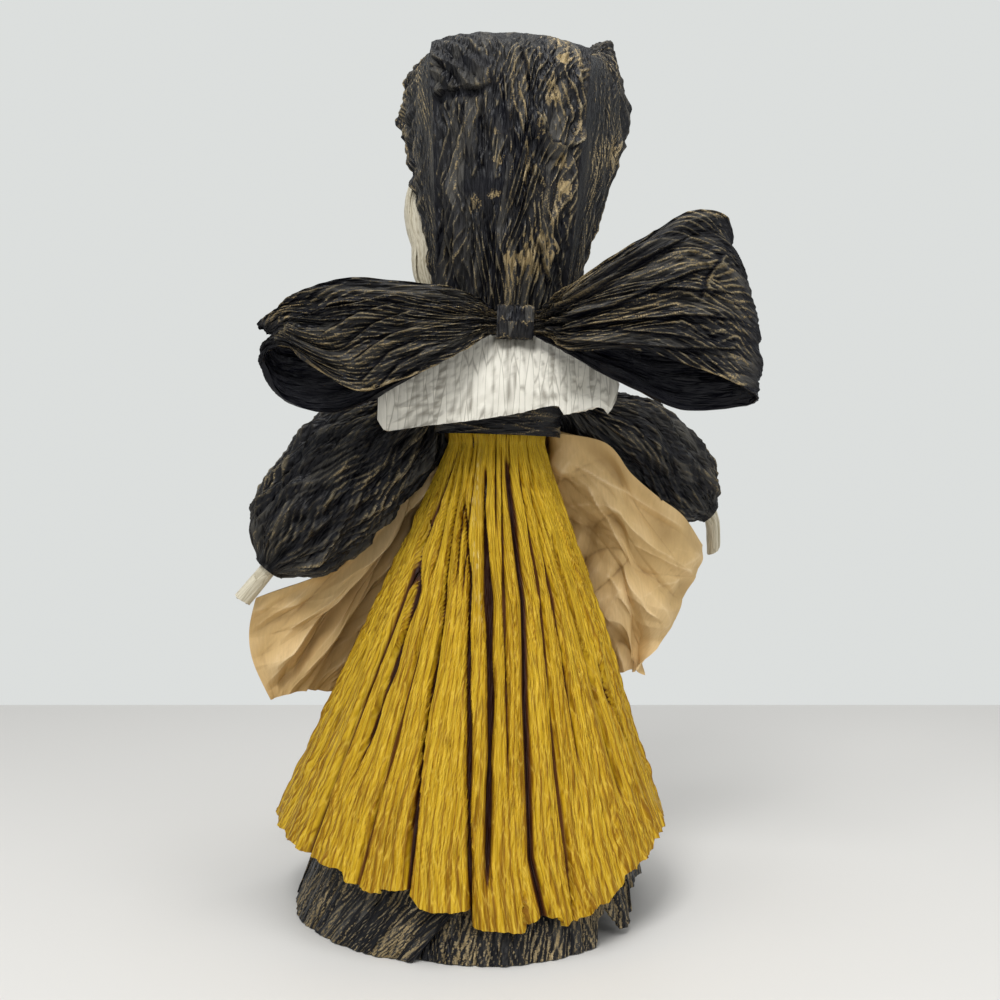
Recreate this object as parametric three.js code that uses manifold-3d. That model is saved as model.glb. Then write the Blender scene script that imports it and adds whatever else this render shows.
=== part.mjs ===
// A paper twist doll: crinkled ribbon gathered and tied round a skewer, standing on its own skirt.
// Millimetres, +Z up. The doll looks along -Y, and its left hand is on the +X side.
// The origin lies on the table under the middle of the doll's outer box.

import * as THREE from 'three';
import { mergeVertices } from 'three/addons/utils/BufferGeometryUtils.js';
import Module from 'manifold-3d';

const wasm = await Module();
wasm.setup();

// Paper, wire and the clearance between pieces that touch
const RIBBON = 1.0;
const KRAFT = 0.8;
const WIRE_RADIUS = 0.6;
const GAP = 0.4;

// How the doll stands: the spine leans to the doll's right
const BASE_X = 2.0;
const LEAN = THREE.MathUtils.degToRad(2.05);

// Spine, core and the heights along the spine, each above or below the waist's
const WAIST_TOP = 201.0;
const ROD_RADIUS = 2.0;
const ROD_BELOW_WAIST = 51.0;
const CORE_RADIUS = 16.0;
const CORE_BELOW_WAIST = 23.0;
const SHOULDER_RISE = 12.0;
const NECK_RISE = 41.0;

// Skirts
const PANELS = 5;
const UNDERSKIRT_HEM_RADIUS = 77.5;
const UNDERSKIRT_RIGHT_DRAW = 8.0;
const UNDERSKIRT_FLARE = 1.15;
const UNDERSKIRT_FOLD = 1.6;
const UNDERSKIRT_FOLDS = 3;
const OVERSKIRT_STAND_OFF = 2.0;
const OVERSKIRT_LEFT_FLARE = 7.0;
const OVERSKIRT_RIGHT_DRAW = 3.5;
const OVERSKIRT_HEM_HEIGHT = 13.0;
const OVERSKIRT_SIDE_RISE = 22.0;
const OVERSKIRT_FOLD = 1.7;
const OVERSKIRT_FOLDS = 4;
const WAIST_FOLD = 0.5;
const WAIST_GATHER = 10.0;

// Waistband and bodice
const WAISTBAND_BELOW_WAIST = 6.5;
const WAISTBAND_HEIGHT = 12.0;
const BODICE_HALF_WIDTH = 28.0;
const BODICE_SLOPE = 3.0;
const BODICE_HALF_DEPTH = 20.0;
const NECK_RADIUS = 15.0;

// Collar: a ribbon sheet bent over the shoulders, with a neck hole
const COLLAR_HALF_WIDTH = 47.0;
const COLLAR_BEND_RADIUS = 37.0;
const COLLAR_SETTLE = 0.83;
const COLLAR_SIDE_DROP = 10.0;
const COLLAR_DROP = 6.5;
const COLLAR_SKEW = 0.17;

// Arms: the wired paper rolls, their sleeves and hands
const ARM_ROLL_RADIUS = 4.5;
const HAND_LENGTH = 17.0;
const HAND_DROOP = 8.0;
const HAND_BEND = 5.0;
const SHOULDER_X = 34.0;
const SHOULDER_CLEAR = 1.3;
const ARMS = {
  left: { side: 1, wrist: [61, 2, -78], fullness: 26.5, droop: 0 },
  right: { side: -1, wrist: [-62, -35, -48], fullness: 21.0, droop: HAND_DROOP },
};
const SLEEVE_DEPTH = 0.84;
const SLEEVE_GATHER = 0.7;
const SLEEVE_FOLDS = 8;

// Head
const HEAD_HALF_WIDTH = 31.0;
const HEAD_HALF_HEIGHT = 37.0;
const HEAD_RISE = 53.0;
const FACE_COVER = 1.0;
const NECK_TUBE_RADIUS = 8.0;

// Hair
const HAIR_TURN = THREE.MathUtils.degToRad(28);
const HAIR_LEFT_FULLNESS = 0.96;
const HAIR_RIGHT_FULLNESS = 0.65;
const FRINGE = 1.6;
const FRINGE_WRAP = THREE.MathUtils.degToRad(52);
const FRINGE_LOW = THREE.MathUtils.degToRad(30);
const FRINGE_HIGH = THREE.MathUtils.degToRad(55);

// Bonnet
const NAPE_RISE = 5.5;
const CROWN_RISE = 29.0;
const CROWN_NAPE_INSET = 4.5;
const CROWN_TOP_SPREAD = 1.5;
const CROWN_DOME = 4.0;
const CROWN_STANDOFF = 1.2;
const CROWN_BEND = 1.25;
const CROWN_SIDE_ROUNDNESS = 0.9;
const CROWN_TOP_ROUNDNESS = 0.35;
const CROWN_FRONT_SHARE = 0.64;
const BRIM_EASE = 1.5;
const BRIM_TUCK = 0.05;
const BRIM_BULGE = 3.2;
const BRIM_LIFT = 2.2;

// Bow
const BOW_X = -5.5;
const BOW_BELOW_COLLAR = 6.5;
const BOW_BAND_WIDTH = 14.5;
const BOW_PINCH = 5.2;
const BOW_LAYER_GAP = 2.4;
const BOW_SPREAD = 1.0;
const BOW_BULGE = 2.5;
const BOW_LEFT_END_BULGE = 1.0;
const BOW_RIGHT_END_BULGE = 5.0;
const BAND_CORNER = 0.76;

// Apron
const APRON_TUCK = 2.0;
const APRON_SLOPE = 0.4;
const APRON_FOLD = 0.5;
const APRON_FOLDS = 9;
const APRON_EASE = 1.2;
const WING_BULGE = 6.0;
const LEFT_WING_TURN = THREE.MathUtils.degToRad(-20);
const RIGHT_WING_TURN = THREE.MathUtils.degToRad(60);

// Colours from the photograph
const BLACK_GOLD = new THREE.MeshStandardMaterial({ color: 0x24221f, roughness: 0.6, metalness: 0.15 });
const MUSTARD = new THREE.MeshStandardMaterial({ color: 0xc3930f, roughness: 0.65 });
const WHITE_PAPER = new THREE.MeshStandardMaterial({ color: 0xdcd8cc, roughness: 0.8 });
const CREAM_PAPER = new THREE.MeshStandardMaterial({ color: 0xd9cfb4, roughness: 0.8 });
const KRAFT_PAPER = new THREE.MeshStandardMaterial({ color: 0xb98f5c, roughness: 0.85 });
const WIRE = new THREE.MeshStandardMaterial({ color: 0x6f6f6c, roughness: 0.4, metalness: 0.9 });
const WOOD = new THREE.MeshStandardMaterial({ color: 0xc9a877, roughness: 0.7 });
const FOAM = new THREE.MeshStandardMaterial({ color: 0xf0efea, roughness: 0.9 });

const doll = new THREE.Group();
const figure = new THREE.Group();
figure.position.x = BASE_X;
figure.rotation.y = -LEAN;
doll.add(figure);

function place(parent, name, geometry, material) {
  const mesh = new THREE.Mesh(geometry, material);
  mesh.name = name;
  parent.add(mesh);
  return mesh;
}

const vec = (x, y, z) => new THREE.Vector3(x, y, z);
const curve = (points) =>
  new THREE.CatmullRomCurve3(points.map((p) => vec(...p)), false, 'catmullrom', 0.5);
const mix = THREE.MathUtils.lerp;
const clamp01 = (t) => Math.min(1, Math.max(0, t));

// Volume inside a triangle mesh, negative when its faces point inwards.
function signedVolume(positions, indices) {
  let volume = 0;
  const corner = [vec(), vec(), vec()];
  for (let i = 0; i < indices.length; i += 3) {
    corner.forEach((c, k) => c.fromArray(positions, 3 * indices[i + k]));
    volume += corner[0].dot(corner[1].clone().cross(corner[2])) / 6;
  }
  return volume;
}

// A closed sheet: surface(u, v), for u and v from 0 to 1, moved half a thickness each way.
// It moves along across(u, v), or along its normal where none is given. A ring joins u = 1 to u = 0.
function sheet(surface, columns, rows, thickness, { ring = false, across = null } = {}) {
  const step = 1e-3;
  const wrap = ring ? (u) => u : clamp01;
  const normal = (u, v) => {
    const alongU = surface(wrap(u + step), v).sub(surface(wrap(u - step), v));
    const alongV = surface(u, clamp01(v + step)).sub(surface(u, clamp01(v - step)));
    return alongU.cross(alongV).normalize();
  };
  const direction = across ?? normal;
  const wide = ring ? columns : columns + 1;
  const positions = [];
  for (const side of [0.5, -0.5]) {
    for (let j = 0; j <= rows; j++) {
      for (let i = 0; i < wide; i++) {
        const [u, v] = [i / columns, j / rows];
        const point = surface(u, v).addScaledVector(direction(u, v), side * thickness);
        positions.push(...point.toArray());
      }
    }
  }
  const back = wide * (rows + 1);
  const at = (i, j, layer) => layer * back + j * wide + (i % wide);
  const indices = [];
  const quad = (a, b, c, d) => indices.push(a, b, c, a, c, d);
  for (let j = 0; j < rows; j++) {
    for (let i = 0; i < columns; i++) {
      quad(at(i, j, 0), at(i + 1, j, 0), at(i + 1, j + 1, 0), at(i, j + 1, 0));
      quad(at(i, j, 1), at(i, j + 1, 1), at(i + 1, j + 1, 1), at(i + 1, j, 1));
    }
    if (!ring) {
      quad(at(0, j, 1), at(0, j, 0), at(0, j + 1, 0), at(0, j + 1, 1));
      quad(at(columns, j, 0), at(columns, j, 1), at(columns, j + 1, 1), at(columns, j + 1, 0));
    }
  }
  for (let i = 0; i < columns; i++) {
    quad(at(i, 0, 0), at(i, 0, 1), at(i + 1, 0, 1), at(i + 1, 0, 0));
    quad(at(i, rows, 1), at(i, rows, 0), at(i + 1, rows, 0), at(i + 1, rows, 1));
  }
  if (signedVolume(positions, indices) < 0) indices.reverse();
  const geometry = new THREE.BufferGeometry();
  geometry.setAttribute('position', new THREE.Float32BufferAttribute(positions, 3));
  geometry.setIndex(indices);
  return geometry;
}

// A solid for joining and cutting, and back again.
function solidOf(geometry) {
  const bare = geometry.clone();
  bare.deleteAttribute('normal');
  bare.deleteAttribute('uv');
  const merged = mergeVertices(bare, 1e-4);
  return new wasm.Manifold(new wasm.Mesh({
    numProp: 3,
    vertProperties: new Float32Array(merged.attributes.position.array),
    triVerts: new Uint32Array(merged.index.array),
  }));
}

function geometryOf(solid) {
  const mesh = solid.getMesh();
  const geometry = new THREE.BufferGeometry();
  geometry.setAttribute('position', new THREE.BufferAttribute(mesh.vertProperties, 3));
  geometry.setIndex(new THREE.BufferAttribute(mesh.triVerts, 1));
  return geometry;
}

// A tube or rod along a curve; a bore makes it hollow.
function tube(path, radius, sides, steps, bore = 0) {
  const section = new THREE.Shape().absarc(0, 0, radius, 0, 2 * Math.PI, false);
  if (bore > 0) section.holes.push(new THREE.Path().absarc(0, 0, bore, 0, 2 * Math.PI, true));
  return new THREE.ExtrudeGeometry(section, { steps, curveSegments: sides, extrudePath: path });
}

// A wire ring whose plane is square to the given direction.
function wireRing(centre, direction, radius) {
  const geometry = new THREE.TorusGeometry(radius, WIRE_RADIUS, 5, 18);
  const turn = new THREE.Quaternion().setFromUnitVectors(vec(0, 0, 1), direction);
  return geometry.applyQuaternion(turn).translate(centre.x, centre.y, centre.z);
}

// Heights along the spine
const rodFoot = WAIST_TOP - ROD_BELOW_WAIST;
const coreFoot = WAIST_TOP - CORE_BELOW_WAIST;
const waistbandFoot = WAIST_TOP - WAISTBAND_BELOW_WAIST;
const shoulderHeight = WAIST_TOP + SHOULDER_RISE;
const neckHeight = WAIST_TOP + NECK_RISE;
const collarHole = NECK_RADIUS + RIBBON + GAP;
const collarHoleDrop = COLLAR_BEND_RADIUS - Math.sqrt(COLLAR_BEND_RADIUS ** 2 - collarHole ** 2);
const collarTop = neckHeight + collarHoleDrop - COLLAR_SETTLE;
const bowHeight = collarTop - BOW_BELOW_COLLAR;
const headHeight = neckHeight + HEAD_RISE;
const bonnetNape = neckHeight + NAPE_RISE;
const bonnetTop = headHeight + HEAD_HALF_HEIGHT + CROWN_RISE;

// Spine and core
const headFoot = headHeight - HEAD_HALF_HEIGHT;
const rodTop = headHeight;
const coreTop = neckHeight - GAP;
const shoulderWireY = -(ROD_RADIUS + WIRE_RADIUS + GAP);

function spineRod() {
  const geometry = new THREE.CylinderGeometry(ROD_RADIUS, ROD_RADIUS, rodTop - rodFoot, 12);
  return geometry.rotateX(Math.PI / 2).translate(0, 0, (rodTop + rodFoot) / 2);
}

function torsoCore() {
  const bore = ROD_RADIUS + GAP;
  const shoulder = mix(coreFoot, coreTop, 0.8);
  const neck = CORE_RADIUS * 0.7;
  const profile = [
    [bore, coreFoot], [CORE_RADIUS, coreFoot], [CORE_RADIUS, shoulder],
    [neck, coreTop], [bore, coreTop], [bore, coreFoot],
  ].map(([r, z]) => new THREE.Vector2(r, z));
  const core = new THREE.LatheGeometry(profile, 20).rotateX(Math.PI / 2);
  const hole = new THREE.CylinderGeometry(WIRE_RADIUS + GAP, WIRE_RADIUS + GAP, 4 * CORE_RADIUS, 10);
  hole.rotateZ(Math.PI / 2).translate(0, shoulderWireY, shoulderHeight);
  return geometryOf(solidOf(core).subtract(solidOf(hole)));
}

function shoulderWire() {
  const reach = SHOULDER_X - SHOULDER_CLEAR;
  const geometry = new THREE.CylinderGeometry(WIRE_RADIUS, WIRE_RADIUS, 2 * reach, 8);
  return geometry.rotateZ(Math.PI / 2).translate(0, shoulderWireY, shoulderHeight);
}

place(figure, 'spine_rod', spineRod(), WOOD);
place(figure, 'torso_core', torsoCore(), CREAM_PAPER);
place(figure, 'shoulder_wire', shoulderWire(), WIRE);

// Layers round the waist, from the core outwards
const underskirtWaist = CORE_RADIUS + GAP + WAIST_FOLD + RIBBON / 2;
const overskirtWaist = underskirtWaist + RIBBON + 2 * WAIST_FOLD + GAP;
const waistTie = overskirtWaist + RIBBON / 2 + WAIST_FOLD + GAP + WIRE_RADIUS;
const apronWaist = waistTie + WIRE_RADIUS + GAP + APRON_FOLD + KRAFT / 2;
const waistbandRadius = apronWaist + KRAFT / 2 + APRON_FOLD + APRON_TUCK * APRON_SLOPE
  + 2 * GAP + RIBBON / 2;
const skirtTop = WAIST_TOP;
const tieHeight = WAIST_TOP - 2 * WIRE_RADIUS;

// The spine's place at a height, for skirts that hang from it and stand level on the table.
const spineX = (z) => BASE_X - z * Math.tan(LEAN);
// A direction round the doll: 0 is the doll's left, a quarter turn is its back.
const leftness = (angle) => Math.max(0, Math.cos(angle));

const underskirtLayer = {
  waist: underskirtWaist,
  hemRadius: (angle) => UNDERSKIRT_HEM_RADIUS - UNDERSKIRT_RIGHT_DRAW * leftness(Math.PI - angle) ** 2,
  hemHeight: () => 0,
  flare: UNDERSKIRT_FLARE,
  fold: UNDERSKIRT_FOLD,
  folds: UNDERSKIRT_FOLDS,
  start: 0,
};
const overskirtLayer = {
  waist: overskirtWaist,
  hemRadius: (angle) => UNDERSKIRT_HEM_RADIUS + OVERSKIRT_STAND_OFF
    + OVERSKIRT_LEFT_FLARE * leftness(angle) ** 2
    - OVERSKIRT_RIGHT_DRAW * leftness(Math.PI - angle) ** 2,
  hemHeight: (angle) => OVERSKIRT_HEM_HEIGHT + OVERSKIRT_SIDE_RISE * Math.abs(Math.cos(angle)) ** 1.3,
  flare: 1,
  fold: OVERSKIRT_FOLD,
  folds: OVERSKIRT_FOLDS,
  start: 0.5,
};

// Radius and height of a skirt at an angle, for t from the waist, 0, to the hem, 1.
// The gathered top runs straight down inside the waistband, and the rest flares.
function skirtProfile(layer, angle, t) {
  const z = mix(skirtTop, layer.hemHeight(angle), t);
  const gather = WAIST_GATHER / (skirtTop - layer.hemHeight(angle));
  const flared = clamp01((t - gather) / (1 - gather));
  const radius = mix(layer.waist, layer.hemRadius(angle), flared ** layer.flare);
  const depth = mix(WAIST_FOLD, layer.fold, flared);
  return { z, radius: radius + depth * Math.sin(angle * PANELS * layer.folds) };
}

// One ribbon length of a skirt, with a seam gap to its neighbours.
function skirtPanel(layer, index, columns, rows) {
  const span = (2 * Math.PI) / PANELS;
  const first = (index + layer.start) * span;
  const angleAt = (u, t) => {
    const seam = GAP / skirtProfile(layer, first, t).radius;
    return first + seam + u * (span - 2 * seam);
  };
  // The first row of the sheet ends where the gathers do.
  const down = (v, angle) => {
    const gather = WAIST_GATHER / (skirtTop - layer.hemHeight(angle));
    return v < 1 / rows ? v * rows * gather : mix(gather, 1, (v * rows - 1) / (rows - 1));
  };
  const surface = (u, v) => {
    const t = down(v, first);
    const angle = angleAt(u, t);
    const { radius, z } = skirtProfile(layer, angle, down(v, angle));
    return vec(spineX(z) + radius * Math.cos(angle), radius * Math.sin(angle), z);
  };
  const across = (u, v) => {
    const angle = angleAt(u, down(v, first));
    return vec(Math.cos(angle), Math.sin(angle), 0);
  };
  return sheet(surface, columns, rows, RIBBON, { across });
}

for (let i = 0; i < PANELS; i++) {
  place(doll, `underskirt_panel_${i + 1}`, skirtPanel(underskirtLayer, i, 15, 5), BLACK_GOLD);
  place(doll, `overskirt_panel_${i + 1}`, skirtPanel(overskirtLayer, i, 20, 5), MUSTARD);
}
place(figure, 'waist_tie', wireRing(vec(0, 0, tieHeight), vec(0, 0, 1), waistTie), WIRE);

// A tube of paper round the spine from rings of [height, half width, half depth].
function spineTube(rings, columns, rows, thickness) {
  const path = curve(rings);
  const surface = (u, v) => {
    const ring = path.getPoint(v);
    const angle = 2 * Math.PI * u;
    return vec(ring.y * Math.cos(angle), ring.z * Math.sin(angle), ring.x);
  };
  return sheet(surface, columns, rows, thickness, { ring: true });
}

function waistband() {
  const [low, high] = [waistbandFoot, waistbandFoot + WAISTBAND_HEIGHT];
  const r = waistbandRadius;
  return spineTube([[low, r, r], [high, r, r]], 28, 2, RIBBON);
}

// The bodice stands inside the waistband and closes in to the neck; each arm wire leaves by an armhole.
function bodice() {
  const foot = WAIST_TOP + GAP;
  const waist = waistbandRadius - RIBBON - GAP;
  const shell = spineTube([
    [foot, waist, waist],
    [waistbandFoot + WAISTBAND_HEIGHT + GAP, waist, waist],
    [mix(foot, neckHeight, 0.5), BODICE_HALF_WIDTH, waist],
    [mix(foot, neckHeight, 0.75), BODICE_HALF_WIDTH - BODICE_SLOPE, BODICE_HALF_DEPTH],
    [neckHeight - COLLAR_SETTLE - 2 * RIBBON, NECK_RADIUS, NECK_RADIUS],
    [neckHeight, NECK_RADIUS, NECK_RADIUS],
  ], 20, 10, RIBBON);
  const hole = new THREE.CylinderGeometry(WIRE_RADIUS + GAP, WIRE_RADIUS + GAP, 3 * SHOULDER_X, 10);
  hole.rotateZ(Math.PI / 2).translate(0, shoulderWireY, shoulderHeight);
  return geometryOf(solidOf(shell).subtract(solidOf(hole)));
}

place(figure, 'waistband', waistband(), BLACK_GOLD);
place(figure, 'bodice', bodice(), BLACK_GOLD);

// The collar bends over the shoulders like half a cylinder, lower at its sides, and then hangs straight.
// Its hem runs level but for the skew, which lifts it on the doll's right.
function collar() {
  const bend = COLLAR_BEND_RADIUS;
  const quarter = (bend * Math.PI) / 2;
  const hole = collarHole;
  const surface = (u, v) => {
    const angle = 2 * Math.PI * u;
    const [c, s] = [Math.cos(angle), Math.sin(angle)];
    const edge = 1 / Math.max(Math.abs(c), Math.abs(s));
    const x = mix(hole * c, COLLAR_HALF_WIDTH * c * edge, v);
    const sideDrop = COLLAR_SIDE_DROP * (x / COLLAR_HALF_WIDTH) ** 2;
    const toHem = quarter + COLLAR_DROP + COLLAR_SKEW * x - sideDrop;
    const length = mix(bend * Math.asin((hole * s) / bend), toHem * s * edge, v);
    const turn = Math.max(-Math.PI / 2, Math.min(Math.PI / 2, length / bend));
    const straight = Math.max(0, Math.abs(length) - quarter);
    return vec(x, bend * Math.sin(turn), collarTop - bend * (1 - Math.cos(turn)) - straight - sideDrop);
  };
  return sheet(surface, 40, 6, RIBBON, { ring: true });
}

place(figure, 'collar', collar(), WHITE_PAPER);

// Arms
function armFrame(arm) {
  const pivot = vec(arm.side * SHOULDER_X, shoulderWireY, shoulderHeight);
  const reach = vec(...arm.wrist);
  const length = reach.length();
  const along = reach.clone().normalize();
  const deep = vec(0, 1, 0).addScaledVector(along, -along.y).normalize();
  const up = along.clone().cross(deep).multiplyScalar(arm.side);
  const wrist = pivot.clone().add(reach);
  const tip = wrist.clone().addScaledVector(along, HAND_LENGTH).add(vec(arm.droop, 0, -arm.droop));
  return { pivot, along, deep, up, length, wrist, tip };
}

// Radius of a sleeve at s, from the shoulder, 0, to the wrist, 1, as a share of its fullness.
const SLEEVE_SHARES = [0.26, 0.62, 0.92, 1, 0.99, 0.93, 0.78, 0.24];
const sleeveShape = curve(SLEEVE_SHARES.map((share) => [0, 0, share]));
const wristOpening = ARM_ROLL_RADIUS + GAP + RIBBON / 2;
const sleeveRadius = (arm, s) =>
  Math.max(wristOpening + SLEEVE_GATHER, arm.fullness * sleeveShape.getPoint(s).z);

function sleeve(arm) {
  const { pivot, along, deep, up, length } = armFrame(arm);
  const surface = (u, s) => {
    const angle = 2 * Math.PI * u;
    const radius = sleeveRadius(arm, s) + SLEEVE_GATHER * Math.sin(SLEEVE_FOLDS * angle);
    return pivot.clone().addScaledVector(along, length * mix(0.04, 1, s))
      .addScaledVector(up, radius * Math.cos(angle))
      .addScaledVector(deep, Math.max(wristOpening, radius * SLEEVE_DEPTH) * Math.sin(angle));
  };
  return sheet(surface, 32, 9, RIBBON, { ring: true });
}

// A roll runs straight to the wrist, and its hand droops from there.
function armPath(arm) {
  const { pivot, along, wrist, tip } = armFrame(arm);
  const path = new THREE.CurvePath();
  path.add(new THREE.LineCurve3(pivot, wrist));
  path.add(new THREE.QuadraticBezierCurve3(wrist, wrist.clone().addScaledVector(along, HAND_BEND), tip));
  return path;
}

function armWire(arm) {
  const { pivot, along, length } = armFrame(arm);
  const [start, end] = [ARM_ROLL_RADIUS, length - HAND_BEND]
    .map((s) => pivot.clone().addScaledVector(along, s));
  return tube(new THREE.LineCurve3(start, end), WIRE_RADIUS, 4, 1);
}

for (const [name, arm] of Object.entries(ARMS)) {
  const { pivot, along, length } = armFrame(arm);
  const roll = tube(armPath(arm), ARM_ROLL_RADIUS, 6, 12, WIRE_RADIUS + GAP);
  place(figure, `${name}_arm_wire`, armWire(arm), WIRE);
  place(figure, `${name}_arm_roll`, roll, CREAM_PAPER);
  place(figure, `${name}_sleeve`, sleeve(arm), BLACK_GOLD);
  const tie = ARM_ROLL_RADIUS + GAP + WIRE_RADIUS;
  const wristTie = pivot.clone().addScaledVector(along, length - 2 * HAND_BEND);
  place(figure, `${name}_wrist_tie`, wireRing(wristTie, along, tie), WIRE);
}

// Head
const coverRadius = HEAD_HALF_WIDTH + GAP + FACE_COVER;

// Half of an egg's outline, grown by an amount, from its top to where the neck tube leaves it.
const neckTurn = Math.PI - Math.asin(NECK_TUBE_RADIUS / coverRadius);
function eggOutline(grow, count) {
  const [wide, tall] = [HEAD_HALF_WIDTH + grow, HEAD_HALF_HEIGHT + grow];
  return Array.from({ length: count + 1 }, (_, i) => {
    const turn = (neckTurn * i) / count;
    return new THREE.Vector2(wide * Math.sin(turn), headHeight + tall * Math.cos(turn));
  });
}

// Turns an outline of [radius, height] into a solid round the spine.
function spineLathe(outline, sides) {
  const geometry = new THREE.LatheGeometry(outline, sides).rotateX(Math.PI / 2);
  return geometryOf(solidOf(geometry));
}

function headCore() {
  const bore = ROD_RADIUS + GAP;
  const outline = eggOutline(0, 10);
  const neckCut = outline.at(-1).y;
  outline.push(...[[bore, neckCut], [bore, rodTop + GAP], [0, rodTop + GAP]]
    .map(([r, z]) => new THREE.Vector2(r, z)));
  return spineLathe(outline.reverse(), 20);
}

function faceCover() {
  const outside = eggOutline(GAP + FACE_COVER, 10);
  const inside = eggOutline(GAP, 10).reverse();
  const foot = neckHeight + GAP;
  const neck = [
    new THREE.Vector2(NECK_TUBE_RADIUS, foot),
    new THREE.Vector2(NECK_TUBE_RADIUS - FACE_COVER, foot),
  ];
  return spineLathe([...outside, ...neck, ...inside].reverse(), 20);
}

place(figure, 'head_core', headCore(), FOAM);
place(figure, 'face_cover', faceCover(), CREAM_PAPER);
const neckTieHeight = mix(neckHeight, headFoot, 0.45);
const neckTie = NECK_TUBE_RADIUS + GAP + WIRE_RADIUS;
place(figure, 'neck_tie', wireRing(vec(0, 0, neckTieHeight), vec(0, 0, 1), neckTie), WIRE);

// Hair: a bunch at each cheek and a fringe across the forehead. Rows run from the top down:
// height above the head's middle, then half size out from the face, then half size round it.
const HAIR_ROWS = [
  [21, 4.5, 6.5], [8, 7, 7.5], [-5, 8.3, 8.5], [-19, 7.5, 8.5], [-32, 5, 7], [-42, 2.5, 4],
];

function hairBunch(side, turnFromSide, fullness) {
  const rows = curve(HAIR_ROWS);
  const radiusAt = (height) => {
    const share = Math.min(0.95, Math.abs(height) / (HEAD_HALF_HEIGHT + GAP + FACE_COVER));
    return coverRadius * Math.max(0.85, Math.sqrt(1 - share * share));
  };
  const out = vec(side * Math.cos(turnFromSide), -Math.sin(turnFromSide), 0);
  const round = vec(side * Math.sin(turnFromSide), Math.cos(turnFromSide), 0);
  const lock = (u, v) => {
    const row = rows.getPoint(v);
    const [thick, wide] = [row.y * fullness, row.z * fullness];
    const angle = 2 * Math.PI * u;
    const centre = radiusAt(row.x) + GAP + thick;
    return vec(0, 0, headHeight + row.x).addScaledVector(out, centre + thick * Math.cos(angle))
      .addScaledVector(round, wide * Math.sin(angle));
  };
  return capped(lock, 14, 8);
}

// A closed body from rings surface(u, v), flat at both ends.
function capped(surface, columns, rows) {
  const positions = [];
  for (let j = 0; j <= rows; j++) {
    for (let i = 0; i < columns; i++) positions.push(...surface(i / columns, j / rows).toArray());
  }
  const ringMiddle = (v) => {
    const sum = vec();
    for (let i = 0; i < columns; i++) sum.add(surface(i / columns, v));
    return sum.divideScalar(columns);
  };
  positions.push(...ringMiddle(0).toArray(), ...ringMiddle(1).toArray());
  const [first, last] = [columns * (rows + 1), columns * (rows + 1) + 1];
  const at = (i, j) => j * columns + (i % columns);
  const indices = [];
  for (let i = 0; i < columns; i++) {
    for (let j = 0; j < rows; j++) {
      indices.push(at(i, j), at(i + 1, j), at(i + 1, j + 1), at(i, j), at(i + 1, j + 1), at(i, j + 1));
    }
    indices.push(first, at(i + 1, 0), at(i, 0), last, at(i, rows), at(i + 1, rows));
  }
  if (signedVolume(positions, indices) < 0) indices.reverse();
  const geometry = new THREE.BufferGeometry();
  geometry.setAttribute('position', new THREE.Float32BufferAttribute(positions, 3));
  geometry.setIndex(indices);
  return geometry;
}

function hairFringe() {
  const radius = coverRadius + GAP + FRINGE / 2;
  const tall = HEAD_HALF_HEIGHT + coverRadius - HEAD_HALF_WIDTH + GAP + FRINGE / 2;
  const surface = (u, v) => {
    const turn = mix(-FRINGE_WRAP, FRINGE_WRAP, u);
    const rise = mix(FRINGE_LOW, FRINGE_HIGH, v);
    const around = radius * Math.cos(rise);
    return vec(around * Math.sin(turn), -around * Math.cos(turn), headHeight + tall * Math.sin(rise));
  };
  return sheet(surface, 16, 4, FRINGE);
}

place(figure, 'hair_left', hairBunch(1, HAIR_TURN, HAIR_LEFT_FULLNESS), CREAM_PAPER);
place(figure, 'hair_right', hairBunch(-1, HAIR_TURN, HAIR_RIGHT_FULLNESS), CREAM_PAPER);
place(figure, 'hair_top', hairFringe(), CREAM_PAPER);

// Bonnet crown: one ribbon from the nape up the back of the head and forward over the top.
const headBack = coverRadius + CROWN_STANDOFF + RIBBON / 2;
const crownLine = curve([
  [0, 0.72 * headBack, bonnetNape],
  [0, 0.93 * headBack, mix(bonnetNape, headHeight, 0.5)],
  [0, headBack, headHeight],
  [0, headBack, mix(headHeight, bonnetTop, 0.4)],
  [0, 0.86 * headBack, mix(headHeight, bonnetTop, 0.75)],
  [0, 0.5 * headBack, bonnetTop - CROWN_DOME],
  [0, 0.2 * headBack, bonnetTop],
  [0, -0.1 * headBack, bonnetTop + CROWN_DOME / 2],
]);

function crownPoint(u, v) {
  const narrowed = mix(1, CROWN_FRONT_SHARE, THREE.MathUtils.smoothstep(v, 0.78, 1));
  const widening = mix(-CROWN_NAPE_INSET, CROWN_TOP_SPREAD, clamp01(v / 0.6));
  const width = (HEAD_HALF_WIDTH + widening) * narrowed;
  const x = mix(width, -width, u);
  const middle = crownLine.getPoint(v);
  const ahead = crownLine.getTangent(v);
  const bend = width * CROWN_BEND;
  const overTop = THREE.MathUtils.smoothstep(v, 0.45, 0.75);
  const roundness = mix(CROWN_SIDE_ROUNDNESS, CROWN_TOP_ROUNDNESS, overTop);
  const pull = roundness * (bend - Math.sqrt(bend * bend - x * x));
  return vec(x, middle.y - ahead.z * pull, middle.z + ahead.y * pull);
}

// Moves a point out from the spine until a ribbon there clears the head by the gap.
function clearOfHead(point) {
  const grow = GAP + FACE_COVER + 2 * GAP + RIBBON / 2;
  const [wide, tall] = [HEAD_HALF_WIDTH + grow, HEAD_HALF_HEIGHT + grow];
  const rise = Math.min(1, Math.abs(point.z - headHeight) / tall);
  const least = wide * Math.sqrt(1 - rise * rise);
  const scale = Math.max(1, least / Math.hypot(point.x, point.y));
  return vec(point.x * scale, point.y * scale, point.z);
}

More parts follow.
